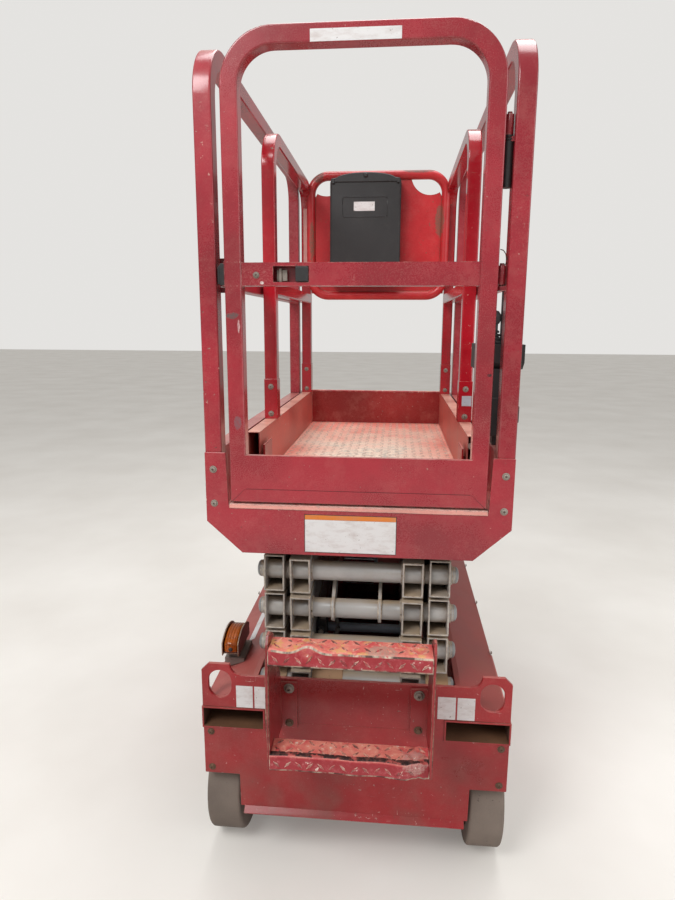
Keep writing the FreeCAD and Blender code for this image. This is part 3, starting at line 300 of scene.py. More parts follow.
def tread_metal():
    """Diamond plate of the floor: worn bright in the middle, dusty red towards its edges."""
    t = Tree("worn floor")
    aside = t.maths("ABSOLUTE", t.times(t.coordinate("X"), 3.4))
    along = t.maths("ABSOLUTE", t.times(t.maths("SUBTRACT", t.coordinate("Y"), -0.08), 1.5))
    middle = t.most(aside, along)
    patch = t.plus(middle, t.times(t.maths("SUBTRACT", t.noise(7.0, 5.0, 0.65), 0.5), 1.6))
    base = t.mix(t.ramp(patch, 0.25, 1.05), (250, 232, 212), (250, 178, 158))
    base = t.mix(t.times(t.ramp(patch, 0.8, 1.3), 0.6), base, (232, 112, 102))
    grit = t.blots(0.5, 0.62, 240.0, 3.0)
    base = t.mix(t.times(grit, 0.25), base, (150, 122, 104))
    bare = t.times(t.ramp(patch, 0.55, 0.15), t.blots(0.46, 0.56, 46.0, 4.0), 0.5)
    return t.finish(t.mix(bare, base, (150, 148, 142)), t.maths("SUBTRACT", 0.75, t.times(bare, 0.4)))


def step_paint():
    """Ladder steps: dusty salmon paint on top, yellow and bare in patches, rust and steel along edges."""
    t = Tree("step paint")
    up = t.facing("Z", 0.3, 0.9)
    patch = t.noise(16.0, 6.0, 0.7)
    fine = t.noise(70.0, 6.0, 0.75)
    shade = t.mix(t.ramp(patch, 0.3, 0.7), (150, 30, 40), (172, 52, 60))
    shade = t.mix(t.times(t.ramp(fine, 0.5, 0.66), 0.45), shade, (206, 120, 124))
    top = t.mix(t.ramp(patch, 0.38, 0.62), (206, 78, 80), (226, 142, 124))
    top = t.mix(t.times(t.ramp(fine, 0.5, 0.62), 0.5), top, (232, 176, 150))
    shade = t.mix(up, shade, top)
    high = t.ramp(t.coordinate("Z"), 0.6, 0.66)
    yellow = t.times(t.blots(0.55, 0.62, 30.0, 5.0, 0.7), up, high, 0.75)
    shade = t.mix(yellow, shade, (218, 172, 104))
    grey = t.times(t.spot((0.07, -0.745, 0.687), (0.04, 0.03, 0.03)), up, 0.8)
    shade = t.mix(grey, shade, (168, 150, 134))
    pale = t.times(t.spot((0.145, -0.745, 0.428), (0.035, 0.035, 0.03)), 0.8)
    shade = t.mix(pale, shade, (190, 150, 142))
    rub = t.blots(0.36, 0.5, 60.0, 4.0, 0.6)
    share = t.times(t.edges(0.0032), rub)
    tone = t.mix(t.blots(0.42, 0.56, 44.0, 3.0), (72, 50, 44), (204, 188, 168))
    shade = t.mix(share, shade, tone)
    chips = t.blots(0.67, 0.69, 70.0, 3.0, 0.6)
    shade = t.mix(chips, shade, (226, 206, 194))
    t.bump(t.noise(120.0, 3.0), 0.2, 0.001)
    return t.finish(shade, t.plus(t.times(patch, 0.3), 0.3))


def tread_paint():
    """Raised tread marks of the steps: brown rust and bare steel on their ridges."""
    t = Tree("tread marks")
    shade = t.mix(t.blots(0.44, 0.56, 40.0, 5.0, 0.7), (104, 62, 54), (214, 150, 130))
    shade = t.mix(t.blots(0.55, 0.62, 90.0, 3.0), shade, (184, 72, 74))
    return t.finish(shade, 0.5)


def nose_paint():
    """Ladder step edges: a bright steel line on the top step, black rust and dirt on the low one."""
    t = Tree("worn nose")
    lengths = t.noise(30.0, 5.0, 0.65, (1.0, 0.3, 0.3))
    high = t.ramp(t.coordinate("Z"), 0.6, 0.66)
    steel = t.mix(t.ramp(lengths, 0.42, 0.58), (84, 58, 50), (206, 184, 164))
    dirt = t.mix(t.blots(0.45, 0.6, 90.0, 4.0, 0.7), (40, 28, 28), (104, 62, 56))
    shade = t.mix(high, dirt, steel)
    left = t.blots(0.56, 0.62, 40.0, 4.0, 0.6)
    shade = t.mix(left, shade, (190, 92, 86))
    t.bump(t.noise(160.0, 3.0), 0.3, 0.001)
    return t.finish(shade, 0.5)


make["chromed_rod"] = chrome()
make["amber_lens"] = amber()
step_red = step_paint()
worn_nose = nose_paint()
tread_marks = tread_paint()
bright_red = paint("bright red paint", (170, 14, 32), DUST, 0.3, (104, 70, 60), 0.5, 0.16, 0.8, dust_and_sheen=0.03,
                   scratch=0.4, pale=(214, 160, 150), coat=0.7)
deep_red = paint("deep red paint", (150, 18, 26), DUST, 0.5, (100, 64, 54), 0.5, 0.3, 0.6, dust_and_sheen=0.12,
                 scratch=0.4, pale=(206, 150, 140))
plate_red = paint("plate red paint", (158, 30, 36), DUST, 0.32, (214, 176, 168), 0.35, 0.3, 0.9, grime=0.45,
                  dust_and_sheen=0.08, scratch=0.9, corner=((92, 50, 40), 0.8), pale=(120, 70, 60))
SCUFF, CHIP, BROWN = (128, 88, 94), (30, 22, 24), (120, 84, 66)
gate_red = paint("gate paint", RED, DUST, 0.45, (72, 42, 40), 0.78, 0.26, 0.8, edge=0.0022, dust_and_sheen=0.16,
                 scratch=0.4, corner=((84, 30, 30), 0.7), pale=(206, 150, 140), coat=0.6,
                 marks=(((-0.281, -0.576, 1.394), (0.016, 0.03, 0.008), (92, 80, 78)),
                        ((-0.268, -0.576, 1.372), (0.003, 0.03, 0.016), (206, 170, 168)),
                        ((-0.276, -0.576, 1.152), (0.009, 0.03, 0.018), SCUFF),
                        ((0.290, -0.576, 1.268), (0.006, 0.02, 0.004), CHIP),
                        ((-0.214, -0.576, 1.465), (0.005, 0.02, 0.004), (226, 214, 208))))
hoop_red = paint("hoop paint", (186, 30, 38), DUST, 0.4, BROWN, 0.9, 0.3, 1.2, edge=0.004, dust_and_sheen=0.1,
                 scratch=0.5, corner=((84, 30, 30), 0.6), pale=(120, 90, 70),
                 marks=(((0.245, 0.662, 1.78), (0.02, 0.05, 0.07), BROWN),
                        ((0.16, 0.655, 1.965), (0.07, 0.05, 0.012), (86, 66, 56)),
                        ((-0.24, 0.655, 1.95), (0.03, 0.05, 0.03), (86, 66, 56)),
                        ((-0.262, 0.655, 1.70), (0.012, 0.05, 0.09), BROWN)))
deck_red = paint("deck red paint", (146, 22, 26), (236, 176, 156), 0.8, (190, 150, 136), 0.8, 0.34, 1.0,
                 edge=0.003, dust_and_sheen=0.14, scratch=0.8, pale=(112, 92, 84), coat=0.3)
floor_metal = tread_metal()
floor_marks = paint("floor marks", (206, 176, 160), (236, 214, 196), 0.6, (140, 136, 130), 0.8, 0.5, 1.0,
                    dust_and_sheen=0.3)
sill_paint = paint("sill paint", (226, 152, 140), (246, 212, 198), 0.8, (170, 160, 150), 1.0, 0.5, 1.2,
                   edge=0.003, dust_and_sheen=0.4, scratch=0.8, pale=(120, 110, 104))
cheek_red = paint("ladder paint", (150, 30, 38), DUST, 0.3, (78, 48, 40), 1.1, 0.3, 0.5, edge=0.0032,
                  dust_and_sheen=0.12, scratch=0.5, pale=(160, 128, 108))
# Inner wall paint: partly dust and scratches, partly painted light, paler where light falls on these faces
wall_dust_and_light = paint("deck wall paint", (184, 74, 66), (232, 166, 146), 0.8, (206, 190, 176), 0.8, 0.4, 1.2,
                 edge=0.003, dust_and_sheen=0.7, scratch=1.0, pale=(150, 120, 108))
cover_red = paint("cover paint", (150, 40, 40), (146, 84, 74), 0.6, (206, 150, 140), 0.4, 0.3, 0.7,
                  grime=0.4, dust_and_sheen=0.2, scratch=0.8, corner=((92, 50, 40), 0.8), pale=(96, 60, 52))
zinc = paint("zinc bolts", (160, 152, 142), None, 0, (96, 66, 50), 0.9, 0.36, 0.5, edge=0.002, dust_and_sheen=0.5,
             pale=(96, 70, 56), corner=((70, 40, 34), 1.0))
rusty = paint("rusty steel", (104, 78, 60), (150, 122, 96), 0.6, (70, 44, 34), 0.8, 0.7, 0.8)
blue_grey = paint("cap paint", (138, 138, 138), (160, 150, 140), 0.3, RUST, 0.3, 0.3, 0.3)
white = sticker("white sticker", (226, 224, 224), 0.5)
silver = sticker("silver label", (170, 176, 186), 0.6)
orange = sticker("orange band", (222, 128, 52), 0.4)
striped = paint("old strip", (206, 150, 142), (220, 190, 180), 0.2, (160, 90, 84), 0.5, 0.6, 0.9, dust_and_sheen=0.4)
black = make["black_plastic"]
rubber = paint("pipe rubber", (96, 92, 88), (140, 130, 120), 0.4, (60, 58, 56), 0.4, 0.6)
bracket_grey = paint("bracket grey", (112, 100, 94), (140, 128, 118), 0.6, RUST, 0.8, 0.5, 0.6)
seam_dark = paint("seam", (92, 26, 32), None, 0, None, 0, 0.6)
tan = paint("tan wrap", (178, 138, 104), (150, 120, 96), 0.4, (110, 78, 56), 0.7, 0.7, 1.2, edge=0.003)

slot_of = {finish: slot for slot, finish in make.items()}
slot_of.update({zinc: "rim", rusty: "rim", rubber: "black_plastic", blue_grey: "grey_paint",
                tan: "grey_paint", bracket_grey: "dark_red_paint"})
own_finish = {"extension_rail_right": bright_red, "extension_rail_left": bright_red, "gate_frame": gate_red,
              "gate_keepers": gate_red, "front_hoop": hoop_red, "extension_deck": deck_red,
              "side_cover_right": cover_red, "rear_plate": plate_red, "chassis_frame": plate_red,
              "front_plate": plate_red, "side_cover_left": plate_red}
slots = {entry["node"]: entry["material_slot"] for entry in frame["record"]["subparts"]}
for name, obj in nodes.items():
    obj.data.materials.clear()
    obj.data.materials.append(own_finish.get(name, make[slots[name]]))


# Rounded corners: square tubes, channels and plates
ROUNDED = {0.006: ("tyre_rear_right", "tyre_rear_left", "tyre_front_right", "tyre_front_left"),
           0.0042: ("gate_frame", "main_rail_right", "main_rail_left", "extension_rail_right",
                    "extension_rail_left"),
           0.004: ("control_box",),
           0.003: ("platform_side_right", "platform_side_left", "side_cover_right", "side_cover_left",
                   "lower_box", "tray_right", "tray_left"),
           0.002: ("gate_latch",),
           0.0016: ("platform_rear_panel", "rear_plate", "front_plate"),
           0.0013: ["arm_%s_%d" % (row, level) for row in ("inner", "outer")
                    for level in range(1, LEVELS + 1)],
           0.0012: ("extension_deck",),
           0.001: ("gate_keepers",)}
for name, radius in ((name, radius) for radius, names in ROUNDED.items() for name in names):
    obj = nodes[name]
    weld = obj.modifiers.new("weld", "WELD")
    weld.merge_threshold = 0.00002
    rounding = obj.modifiers.new("rounding", "BEVEL")
    rounding.width, rounding.segments = radius, 2
    rounding.limit_method, rounding.angle_limit = "ANGLE", math.radians(50)
    rounding.use_clamp_overlap = True
    rounding.harden_normals = True

# Inner faces of the extension's side walls: dust, and a paler colour that is painted light, for the light
# falling on them
deck = nodes["extension_deck"]
deck.data.materials.append(wall_dust_and_light)
for face in deck.data.polygons:
    at = deck.matrix_world @ face.center
    if face.normal.x * at.x < 0 and abs(face.normal.x) > 0.7 and abs(at.x) > 0.2:
        face.material_index = 1

# Rusty insides of the fork pockets, in the frame's and the rear plate's own faces
pocket_rust = paint("pocket rust", (84, 54, 38), (120, 84, 58), 0.8, (50, 32, 26), 0.6, 0.85, 0.9, dust_and_sheen=0.3,
                    pale=(70, 40, 30))
POCKET_X, POCKET_Z, POCKET_Y = (0.219, 0.379), (0.379, 0.439), (-0.598, -0.284)
for name in ("chassis_frame", "rear_plate"):
    obj = nodes[name]
    obj.data.materials.append(pocket_rust)
    for face in obj.data.polygons:
        at = obj.matrix_world @ face.center
        normal = obj.matrix_world.to_3x3() @ face.normal
        inward = normal.x * (0.3 - abs(at.x)) * math.copysign(1, at.x) > 0 or normal.z * (0.409 - at.z) > 0
        if (POCKET_X[0] < abs(at.x) < POCKET_X[1] and POCKET_Z[0] < at.z < POCKET_Z[1]
            and POCKET_Y[0] < at.y < POCKET_Y[1] and abs(normal.y) < 0.5 and inward):
            face.material_index = len(obj.data.materials) - 1


# Forms

class Form:
    """One mesh after another, built up from simple solids. piece() ends a mesh and starts the next."""

    def __init__(self):
        self.begin()

    def begin(self):
        self.bm = bmesh.new()
        self.chance = random.Random(1)

    def solid(self, points, faces):
        verts = [self.bm.verts.new(p) for p in points]
        for face in faces:
            self.bm.faces.new([verts[n] for n in face])
        return verts

    def box(self, low, high):
        corners = [(x, y, z) for x in (low[0], high[0]) for y in (low[1], high[1])
                   for z in (low[2], high[2])]
        return self.solid(corners,
                          [(0, 1, 3, 2), (4, 6, 7, 5), (0, 4, 5, 1), (2, 3, 7, 6), (0, 2, 6, 4),
                           (1, 5, 7, 3)])

    def prism(self, outline, axis, a, b):
        """Flat outline pushed along an axis from a to b."""
        def at(p, along):
            place = list(p)
            place.insert("XYZ".index(axis), along)
            return tuple(place)
        n = len(outline)
        points = [at(p, a) for p in outline] + [at(p, b) for p in outline]
        faces = [tuple(range(n)), tuple(range(2 * n - 1, n - 1, -1))]
        faces += [(k, k + n, (k + 1) % n + n, (k + 1) % n) for k in range(n)]
        return self.solid(points, faces)

    def circle(self, middle, turn, radius, rise, sides):
        turns = [math.tau * k / sides for k in range(sides)]
        return [self.bm.verts.new(middle + turn @ Vector((radius * math.cos(a), radius * math.sin(a), rise)))
                for a in turns]

    def skin(self, rings, sides):
        """Faces between rings of verts. A ring of one vert closes the form."""
        for lower, upper in zip(rings, rings[1:]):
            for k in range(sides):
                after = (k + 1) % sides
                quad = (lower[k % len(lower)], lower[after % len(lower)], upper[after % len(upper)],
                        upper[k % len(upper)])
                self.bm.faces.new(list(dict.fromkeys(quad)))

    def lathe(self, at, direction, profile, sides=20):
        """Profile of (radius, distance along the direction) turned round it. Radius 0 closes it."""
        direction = Vector(direction).normalized()
        turn = direction.to_track_quat("Z", "Y").to_matrix()
        self.skin([self.circle(Vector(at), turn, radius, rise, sides) if radius
                   else [self.bm.verts.new(Vector(at) + direction * rise)] for radius, rise in profile],
                  sides)

    def rod(self, a, b, radius, sides=14):
        reach = (Vector(b) - Vector(a)).length
        self.lathe(a, Vector(b) - Vector(a), [(0, 0), (radius, 0), (radius, reach), (0, reach)], sides)

    def tube(self, points, radius, sides=8, wobble=0.0):
        """Round bar through the points, lumpy where wobble is set."""
        points = [Vector(p) for p in points]
        rings = []
        for n, point in enumerate(points):
            ahead = points[min(n + 1, len(points) - 1)] - points[max(n - 1, 0)]
            turn = ahead.to_track_quat("Z", "Y").to_matrix()
            size = radius * (1 + self.chance.uniform(-wobble, wobble))
            rings.append(self.circle(point, turn, size, 0, sides))
        self.skin(rings, sides)
        self.bm.faces.new(rings[0][::-1])
        self.bm.faces.new(rings[-1])

    def weld(self, a, b, radius=0.0026, step=0.004):
        """Lumpy weld bead from a to b."""
        a, b = Vector(a), Vector(b)
        count = max(2, round((b - a).length / step))
        self.tube([a.lerp(b, n / count) for n in range(count + 1)], radius, 7, 0.3)

    def lozenges(self, corner, along, across, up, length, width, pitch=0.026, bar=0.021, wide=0.0055,
                 rise=0.0016, place=None):
        """Raised diamond tread over a rectangle. place bends a point to the sheet's own dents."""
        corner, along, across, up = (Vector(v) for v in (corner, along, across, up))
        columns, rows = max(1, int(length / pitch)), max(1, int(width / pitch))
        for i in range(columns):
            for j in range(rows):
                lean = math.radians(45 if (i + j) % 2 else -45)
                one = along * math.cos(lean) + across * math.sin(lean)
                two = across * math.cos(lean) - along * math.sin(lean)
                middle = (corner + along * ((i + 0.5) * length / columns)
                          + across * ((j + 0.5) * width / rows))
                marks = [(-bar / 2, 0, 0), (0, -wide / 2, 0), (bar / 2, 0, 0), (0, wide / 2, 0),
                         (-bar / 3.4, 0, rise), (bar / 3.4, 0, rise)]
                points = [middle + one * a + two * b + up * c for a, b, c in marks]
                if place:
                    points = [place(p) for p in points]
                self.solid(points,
                           [(0, 1, 4), (1, 5, 4), (1, 2, 5), (2, 3, 5), (3, 4, 5), (3, 0, 4), (3, 2, 1, 0)])

    def bolt(self, at, direction, radius, hexagon=False):
        """Washer with a domed or six-sided head."""
        self.lathe(at, direction, [(0, 0), (radius * 1.45, 0), (radius * 1.45, radius * 0.16),
                                   (radius * 1.3, radius * 0.24), (0, radius * 0.24)], 20)
        if hexagon:
            self.lathe(at, direction, [(0, radius * 0.2), (radius * 1.05, radius * 0.24),
                                       (radius * 1.05, radius * 0.75), (radius * 0.92, radius * 0.9),
                                       (0, radius * 0.9)], 6)
        else:
            self.lathe(at, direction, [(0, radius * 0.2), (radius, radius * 0.24),
                                       (radius * 0.94, radius * 0.55), (radius * 0.7, radius * 0.8),
                                       (radius * 0.4, radius * 0.86), (radius * 0.36, radius * 0.5),
                                       (0, radius * 0.5)], 18)

    def piece(self, name, body, finish, bevel=0.0, smooth=30.0, replaces=None):
        """Turn the mesh into a piece that rides on a body."""
        bmesh.ops.recalc_face_normals(self.bm, faces=self.bm.faces)
        mesh = bpy.data.meshes.new(name)
        self.bm.to_mesh(mesh)
        self.bm.free()
        self.begin()
        mesh.materials.append(finish)
        obj = bpy.data.objects.new(name, mesh)
        scene.collection.objects.link(obj)
        if bevel:
            rounding = obj.modifiers.new("rounding", "BEVEL")
            rounding.width, rounding.segments, rounding.limit_method = bevel, 2, "ANGLE"
            rounding.angle_limit = math.radians(40)
        if smooth:
            mesh.shade_smooth()
            mesh.set_sharp_from_angle(angle=math.radians(smooth))
        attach(obj, body)
        if replaces:
            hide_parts(replaces)
        return obj


def low_high(name):
    low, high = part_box(name)
    return Vector(low), Vector(high)


form = Form()

# Ladder with its dented steps

ladder_low, ladder_high = low_high("ladder")
side_x, rear_y, front_edge = ladder_high.x, ladder_high.y, ladder_low.y + 0.006
SIDE_T, STEP_DEPTH, STEP_LIP, STEP_ROUND = 0.006, 0.062, 0.034, 0.005
STEP_Z = (0.430, 0.685)
DENT_X, DENT_W, DENT_BACK, DENT_UP = -0.092, 0.024, 0.016, 0.009


def dented(point):
    """Where a point of the top step goes: one deep dent in its edge, and shallow ones along it."""
    x, y, z = point
    near = max(0.0, 1 - (y - front_edge) / 0.045)
    top = max(0.0, min(1.0, (z - (STEP_Z[1] - STEP_LIP)) / STEP_LIP)) if z > 0.6 else 0.0
    deep = math.exp(-((x - DENT_X) / DENT_W) ** 2) * near * top ** 2
    wave = noise.noise(Vector((x * 14, y * 10, 3.0))) * 0.005 * near * top
    sag = math.exp(-((x + 0.13) / 0.03) ** 2) * near * top * 0.003
    return Vector((x, y + deep * DENT_BACK + wave * 0.7, z + deep * DENT_UP + wave * 0.5 - sag))


def crushed(point):
    """Where a point of the low step goes: wavy, and folded in at its right end."""
    x, y, z = point
    near = max(0.0, 1 - (y - front_edge) / 0.06)
    end = max(0.0, min(1.0, (x - side_x + 0.075) / 0.06)) ** 2 * near
    fold = noise.noise(Vector((x * 60, y * 60, 2.0))) * 0.004 * max(0.0,
                                                                    min(1.0, (x - side_x + 0.09) / 0.04))
    wave = noise.noise(Vector((x * 12, y * 9, 8.0))) * 0.004 * near
    return Vector((x, y + end * 0.013 + wave + fold * near, z - end * 0.007 + wave * 0.7 + fold))


def step(name, z, place, worn_rows):
    """Folded step: back flange, top, rounded nose and front lip, as one bent sheet with raised tread."""
    nose = [(front_edge + STEP_ROUND * (1 - math.sin(a)), z - STEP_ROUND * (1 - math.cos(a)))
            for a in (math.radians(18 * k) for k in range(6))]
    back = front_edge + STEP_DEPTH
    profile = [(back, z - 0.018), (back, z - 0.004), (back - 0.004, z)]
    profile += [(back - 0.004 - (STEP_DEPTH - 0.004 - STEP_ROUND) * k / 12, z) for k in range(1, 12)]
    profile += nose + [(front_edge, z - STEP_ROUND - (STEP_LIP - STEP_ROUND) * k / 6) for k in range(1, 7)]
    columns, inner = 150, side_x - SIDE_T
    rows = [[form.bm.verts.new(place(Vector((-inner + 2 * inner * c / columns, y, height))))
             for c in range(columns + 1)] for y, height in profile]
    for n, (one, two) in enumerate(zip(rows, rows[1:])):
        for c in range(columns):
            face = form.bm.faces.new((one[c], one[c + 1], two[c + 1], two[c]))
            face.material_index = 1 if n in worn_rows else 0
    obj = form.piece(name, "chassis", step_red, smooth=40, replaces="ladder")
    obj.data.materials.append(worn_nose)
    thick = obj.modifiers.new("thickness", "SOLIDIFY")
    thick.thickness, thick.offset = 0.005, 0.0
    lift = 0.0023
    form.lozenges((-inner + 0.004, front_edge + 0.006, z + lift), RIGHT, FRONT, UP, 2 * inner - 0.008,
                  STEP_DEPTH - 0.008, pitch=0.024, bar=0.026, wide=0.008, rise=0.0022, place=place)
    form.piece(name + "_tread", "chassis", tread_marks, smooth=0, replaces="ladder")
    form.lozenges((-inner + 0.004, front_edge - lift, z - STEP_LIP + 0.001), RIGHT, UP, REAR,
                  2 * inner - 0.008, STEP_LIP - 0.005, pitch=0.024, bar=0.024, wide=0.007, rise=0.0018,
                  place=place)
    form.piece(name + "_lip_tread", "chassis", step_red, smooth=0, replaces="ladder")


def ladder_sides():
    low, tip, rest = ladder_low.z, ladder_high.z, STEP_Z[1] + 0.008
    outline = [(front_edge, low), (rear_y, low), (rear_y, 0.522), (rear_y - 0.092, rest),
               (front_edge + 0.034, tip), (front_edge + 0.016, tip), (front_edge, rest)]
    for sign in (-1, 1):
        x0, x1 = sorted((sign * side_x, sign * (side_x - SIDE_T)))
        form.prism(outline, "X", x0, x1)
        a, b = sorted((sign * (side_x - SIDE_T / 2), sign * (side_x - 0.046)))
        form.box((a, rear_y - SIDE_T, 0.397), (b, rear_y, 0.519))
    bmesh.ops.subdivide_edges(form.bm, edges=form.bm.edges[:], cuts=11, use_grid_fill=True)
    for v in form.bm.verts:
        reach = max(0.0, min(1.0, (rear_y - v.co.y) / 0.16))
        v.co.x += noise.noise(v.co * 13) * 0.003 * reach
        if v.co.y < front_edge + 0.002:
            v.co.y += abs(noise.noise(v.co * 60)) * 0.0022
    for face in form.bm.faces:
        face.material_index = 1 if face.calc_center_median().y > rear_y - SIDE_T - 0.001 else 0
    obj = form.piece("ladder_sides", "chassis", cheek_red, smooth=35, replaces="ladder")
    obj.data.materials.append(plate_red)


ladder_sides()
step("ladder_step_top", STEP_Z[1], dented, (16, 17))
step("ladder_step_low", STEP_Z[0], crushed, (12, 13, 14, 15))

# Bolts of the chassis
for x, z in ((-0.158, 0.5035), (0.158, 0.5030)):
    form.bolt((x, rear_y - SIDE_T, z), REAR, 0.0090)
form.piece("ladder_bolts_top", "chassis", zinc)
for x in (-0.158, 0.158):
    form.bolt((x, rear_y - SIDE_T, 0.410), REAR, 0.0072, True)
for z in (0.368, 0.268):
    for x in (0.359, -0.359):
        form.bolt((x, PLATE_Y, z), REAR, 0.0062)
form.piece("chassis_bolts", "chassis", rusty)

# Low raised border pressed in the rear plate
x0, x1, z0, z1, line = -0.133, 0.133, 0.405, 0.500, 0.0014
for low, high in (((x0, z0), (x1, z0 + line)), ((x0, z0), (x0 + line, z1)), ((x1 - line, z0), (x1, z1))):
    form.box((low[0], PLATE_Y - 0.0004, low[1]), (high[0], PLATE_Y + 0.0005, high[1]))
form.piece("rear_plate_panel", "chassis", plate_red)


# Blank signs
def sign(name, body, low, high, finish):
    form.box(low, high)
    form.piece(name, body, finish, 0.0004)


THIN = 0.0006
for n, (x0, x1) in enumerate(((-0.292, -0.250), (-0.246, -0.204), (0.203, 0.246), (0.250, 0.292))):
    sign("lug_sign_%d" % (n + 1), "chassis", (x0, PLATE_Y - THIN, 0.440), (x1, PLATE_Y, 0.499), white)
sign("rear_sign_border", "platform", (-0.1225, PANEL_Y - 0.0004, 0.8435), (0.0945, PANEL_Y, 0.9375), black)
sign("rear_sign", "platform", (-0.121, PANEL_Y - THIN, 0.845), (0.093, PANEL_Y, 0.9245), white)
sign("rear_sign_band", "platform", (-0.121, PANEL_Y - THIN, 0.9247), (0.093, PANEL_Y, 0.936), orange)
sign("gate_sign", "gate", (-0.105, -0.5762 - THIN, 1.942), (0.082, -0.576, 1.966), white)
sign("socket_label", "extension", (0.281, -0.1036, 1.140), (0.309, -0.103, 1.170), silver)

# Strip sign along the left cover
COVER_LOW, COVER_HIGH = Vector((-0.344, 0, 0.4559)), Vector((-0.264, 0, 0.4902))
slope = (COVER_HIGH - COVER_LOW).normalized()
rise = Vector((-slope.z, 0, slope.x))
across0, across1 = COVER_HIGH - slope * 0.068, COVER_HIGH - slope * 0.050
corners = [across0 + Vector((0, y, 0)) for y in (-0.31, -0.08)]
corners += [across1 + Vector((0, y, 0)) for y in (-0.08, -0.31)]
form.solid(corners + [c + rise * THIN for c in corners],
           [(0, 1, 2, 3), (4, 7, 6, 5), (0, 4, 5, 1), (1, 5, 6, 2), (2, 6, 7, 3), (3, 7, 4, 0)])
form.piece("cover_sign", "chassis", white)

# Domed caps on the cross tubes
DOME = [(CAP_R, -0.001), (CAP_R, 0.001), (CAP_R * 0.94, 0.004), (CAP_R * 0.78, 0.0068),
        (CAP_R * 0.5, 0.0086), (CAP_R * 0.2, 0.0093), (0, 0.0094)]
for level in range(1, LEVELS + 1):
    body = "inner_%d" % level
    end = low_high("arm_inner_%d" % level)[1].x if level < LEVELS else 0.239
    spots = [(PIN_REAR, PIN_Z + PITCH * (level - 1))]
    if level < LEVELS:
        spots.append((PIN_FRONT, PIN_Z + PITCH * level))
    for y, z in spots:
        for side in (-1, 1):
            form.lathe((side * end, y, z), (side, 0, 0), DOME, 24)
    form.piece("tube_caps_%d" % level, body, blue_grey)
top_end = low_high("arm_outer_4")[1].x
for side in (-1, 1):
    form.lathe((side * top_end, PIN_REAR, PIN_Z + PITCH * LEVELS), (side, 0, 0), DOME, 24)
form.piece("tube_caps_5", "outer_4", blue_grey)

# Weld beads and collars on the stack
for level in range(2, LEVELS + 1):
    form.chance.seed(level)
    z = PIN_Z + PITCH * (level - 1)
    for x in (-0.112, 0.112, -0.162, 0.162):
        side = 1 if abs(x) > 0.15 else -1
        out = 0.0012 * side * (1 if x > 0 else -1)
        ring = [(x + out, PIN_REAR + 0.0255 * math.cos(math.tau * k / 40), z
                 + 0.0255 * math.sin(math.tau * k / 40)) for k in range(41)]
        form.tube(ring, 0.0026, 6, 0.3)
    form.piece("stack_welds_%d" % level, "inner_%d" % level, make["grey_paint"])

# Valve block and cross bar inside the stack
form.box((-0.110, -0.440, 0.556), (-0.084, -0.395, 0.604))
form.box((-0.106, -0.452, 0.568), (-0.090, -0.430, 0.586))
form.piece("valve_block", "inner_2", black, 0.002)
form.lathe((-0.096, -0.425, 0.603), UP,
           [(0, 0), (0.010, 0), (0.010, 0.008), (0.0075, 0.010), (0.0075, 0.030), (0, 0.030)], 12)
form.rod((-0.098, -0.450, 0.577), (-0.098, -0.458, 0.577), 0.007)
form.piece("valve_fittings", "inner_2", zinc)
VALVE_PIPE = ((-0.096, 0.630), (-0.092, 0.636), (-0.082, 0.632), (-0.070, 0.624), (-0.060, 0.613),
              (-0.054, 0.600), (-0.053, 0.586), (-0.056, 0.573), (-0.064, 0.562), (-0.076, 0.560),
              (-0.088, 0.566))
form.tube([(x, -0.440, z) for x, z in VALVE_PIPE], 0.0058, 12)
form.piece("valve_pipe", "inner_2", rubber)
form.rod((-0.113, -0.385, 0.560), (0.113, -0.385, 0.560), 0.0125, 20)
form.piece("stack_bar", "inner_2", make["cylinder_paint"])

form.lathe((-0.111, PIN_REAR, PIN_Z), RIGHT, [(0.0243, 0), (0.0262, 0.0), (0.0264, 0.030), (0.0260, 0.034),
                                              (0.0264, 0.038), (0.0263, 0.078), (0.0243, 0.078)], 32)
form.piece("tube_wrap", "inner_1", tan)

# Gate: welds, bolt, seams of its sheet, bumper, cover of the spring hinge and latch wire
form.chance.seed(3)
form.weld((-0.298, -0.5735, 1.4585), (-0.262, -0.5735, 1.4585))
form.weld((-0.298, -0.5735, 1.5095), (-0.262, -0.5735, 1.5095))
form.weld((0.262, -0.5735, 1.4585), (0.262, -0.5735, 1.5095))
form.weld((-0.2605, -0.557, 1.4585), (-0.2605, -0.5735, 1.4585))
form.piece("gate_welds", "gate", red)
form.bolt((-0.2267, -0.573, 1.4820), REAR, 0.0050)
form.box((-0.183, -0.5572, 1.470), (-0.160, -0.5552, 1.494))
form.box((-0.178, -0.5600, 1.468), (-0.172, -0.5560, 1.497))
form.piece("gate_bolt", "gate", zinc)
form.box((-0.260, GATE_Y - 0.0003, 0.9945), (0.260, GATE_Y + 0.001, 0.9957))
for side in (-1, 1):
    form.prism([(side * 0.262, 0.9955), (side * 0.2632, 0.9947), (side * 0.2955, 0.9640),
                (side * 0.2940, 0.9636)], "Y", GATE_Y - 0.0003, GATE_Y + 0.001)
form.piece("gate_seams", "gate", seam_dark)
form.box((-0.3085, -0.5735, 1.4600), (-0.2985, -0.5430, 1.5070))
form.prism([(-0.3150, 1.4640), (-0.3085, 1.4610), (-0.3085, 1.5060), (-0.3150, 1.4990)], "Y", -0.570,
           -0.546)
form.piece("gate_bumper", "gate", black, 0.0015)
HINGE_AT = (0.308, -0.550)
for k in range(15):
    z = 1.674 + 0.006 * k
    form.lathe((HINGE_AT[0] + 0.0005, HINGE_AT[1], z), UP,
               [(0.0085, 0), (0.0096, 0.0015), (0.0096, 0.0040), (0.0085, 0.0055)], 22)
form.piece("hinge_cover", "platform", black)
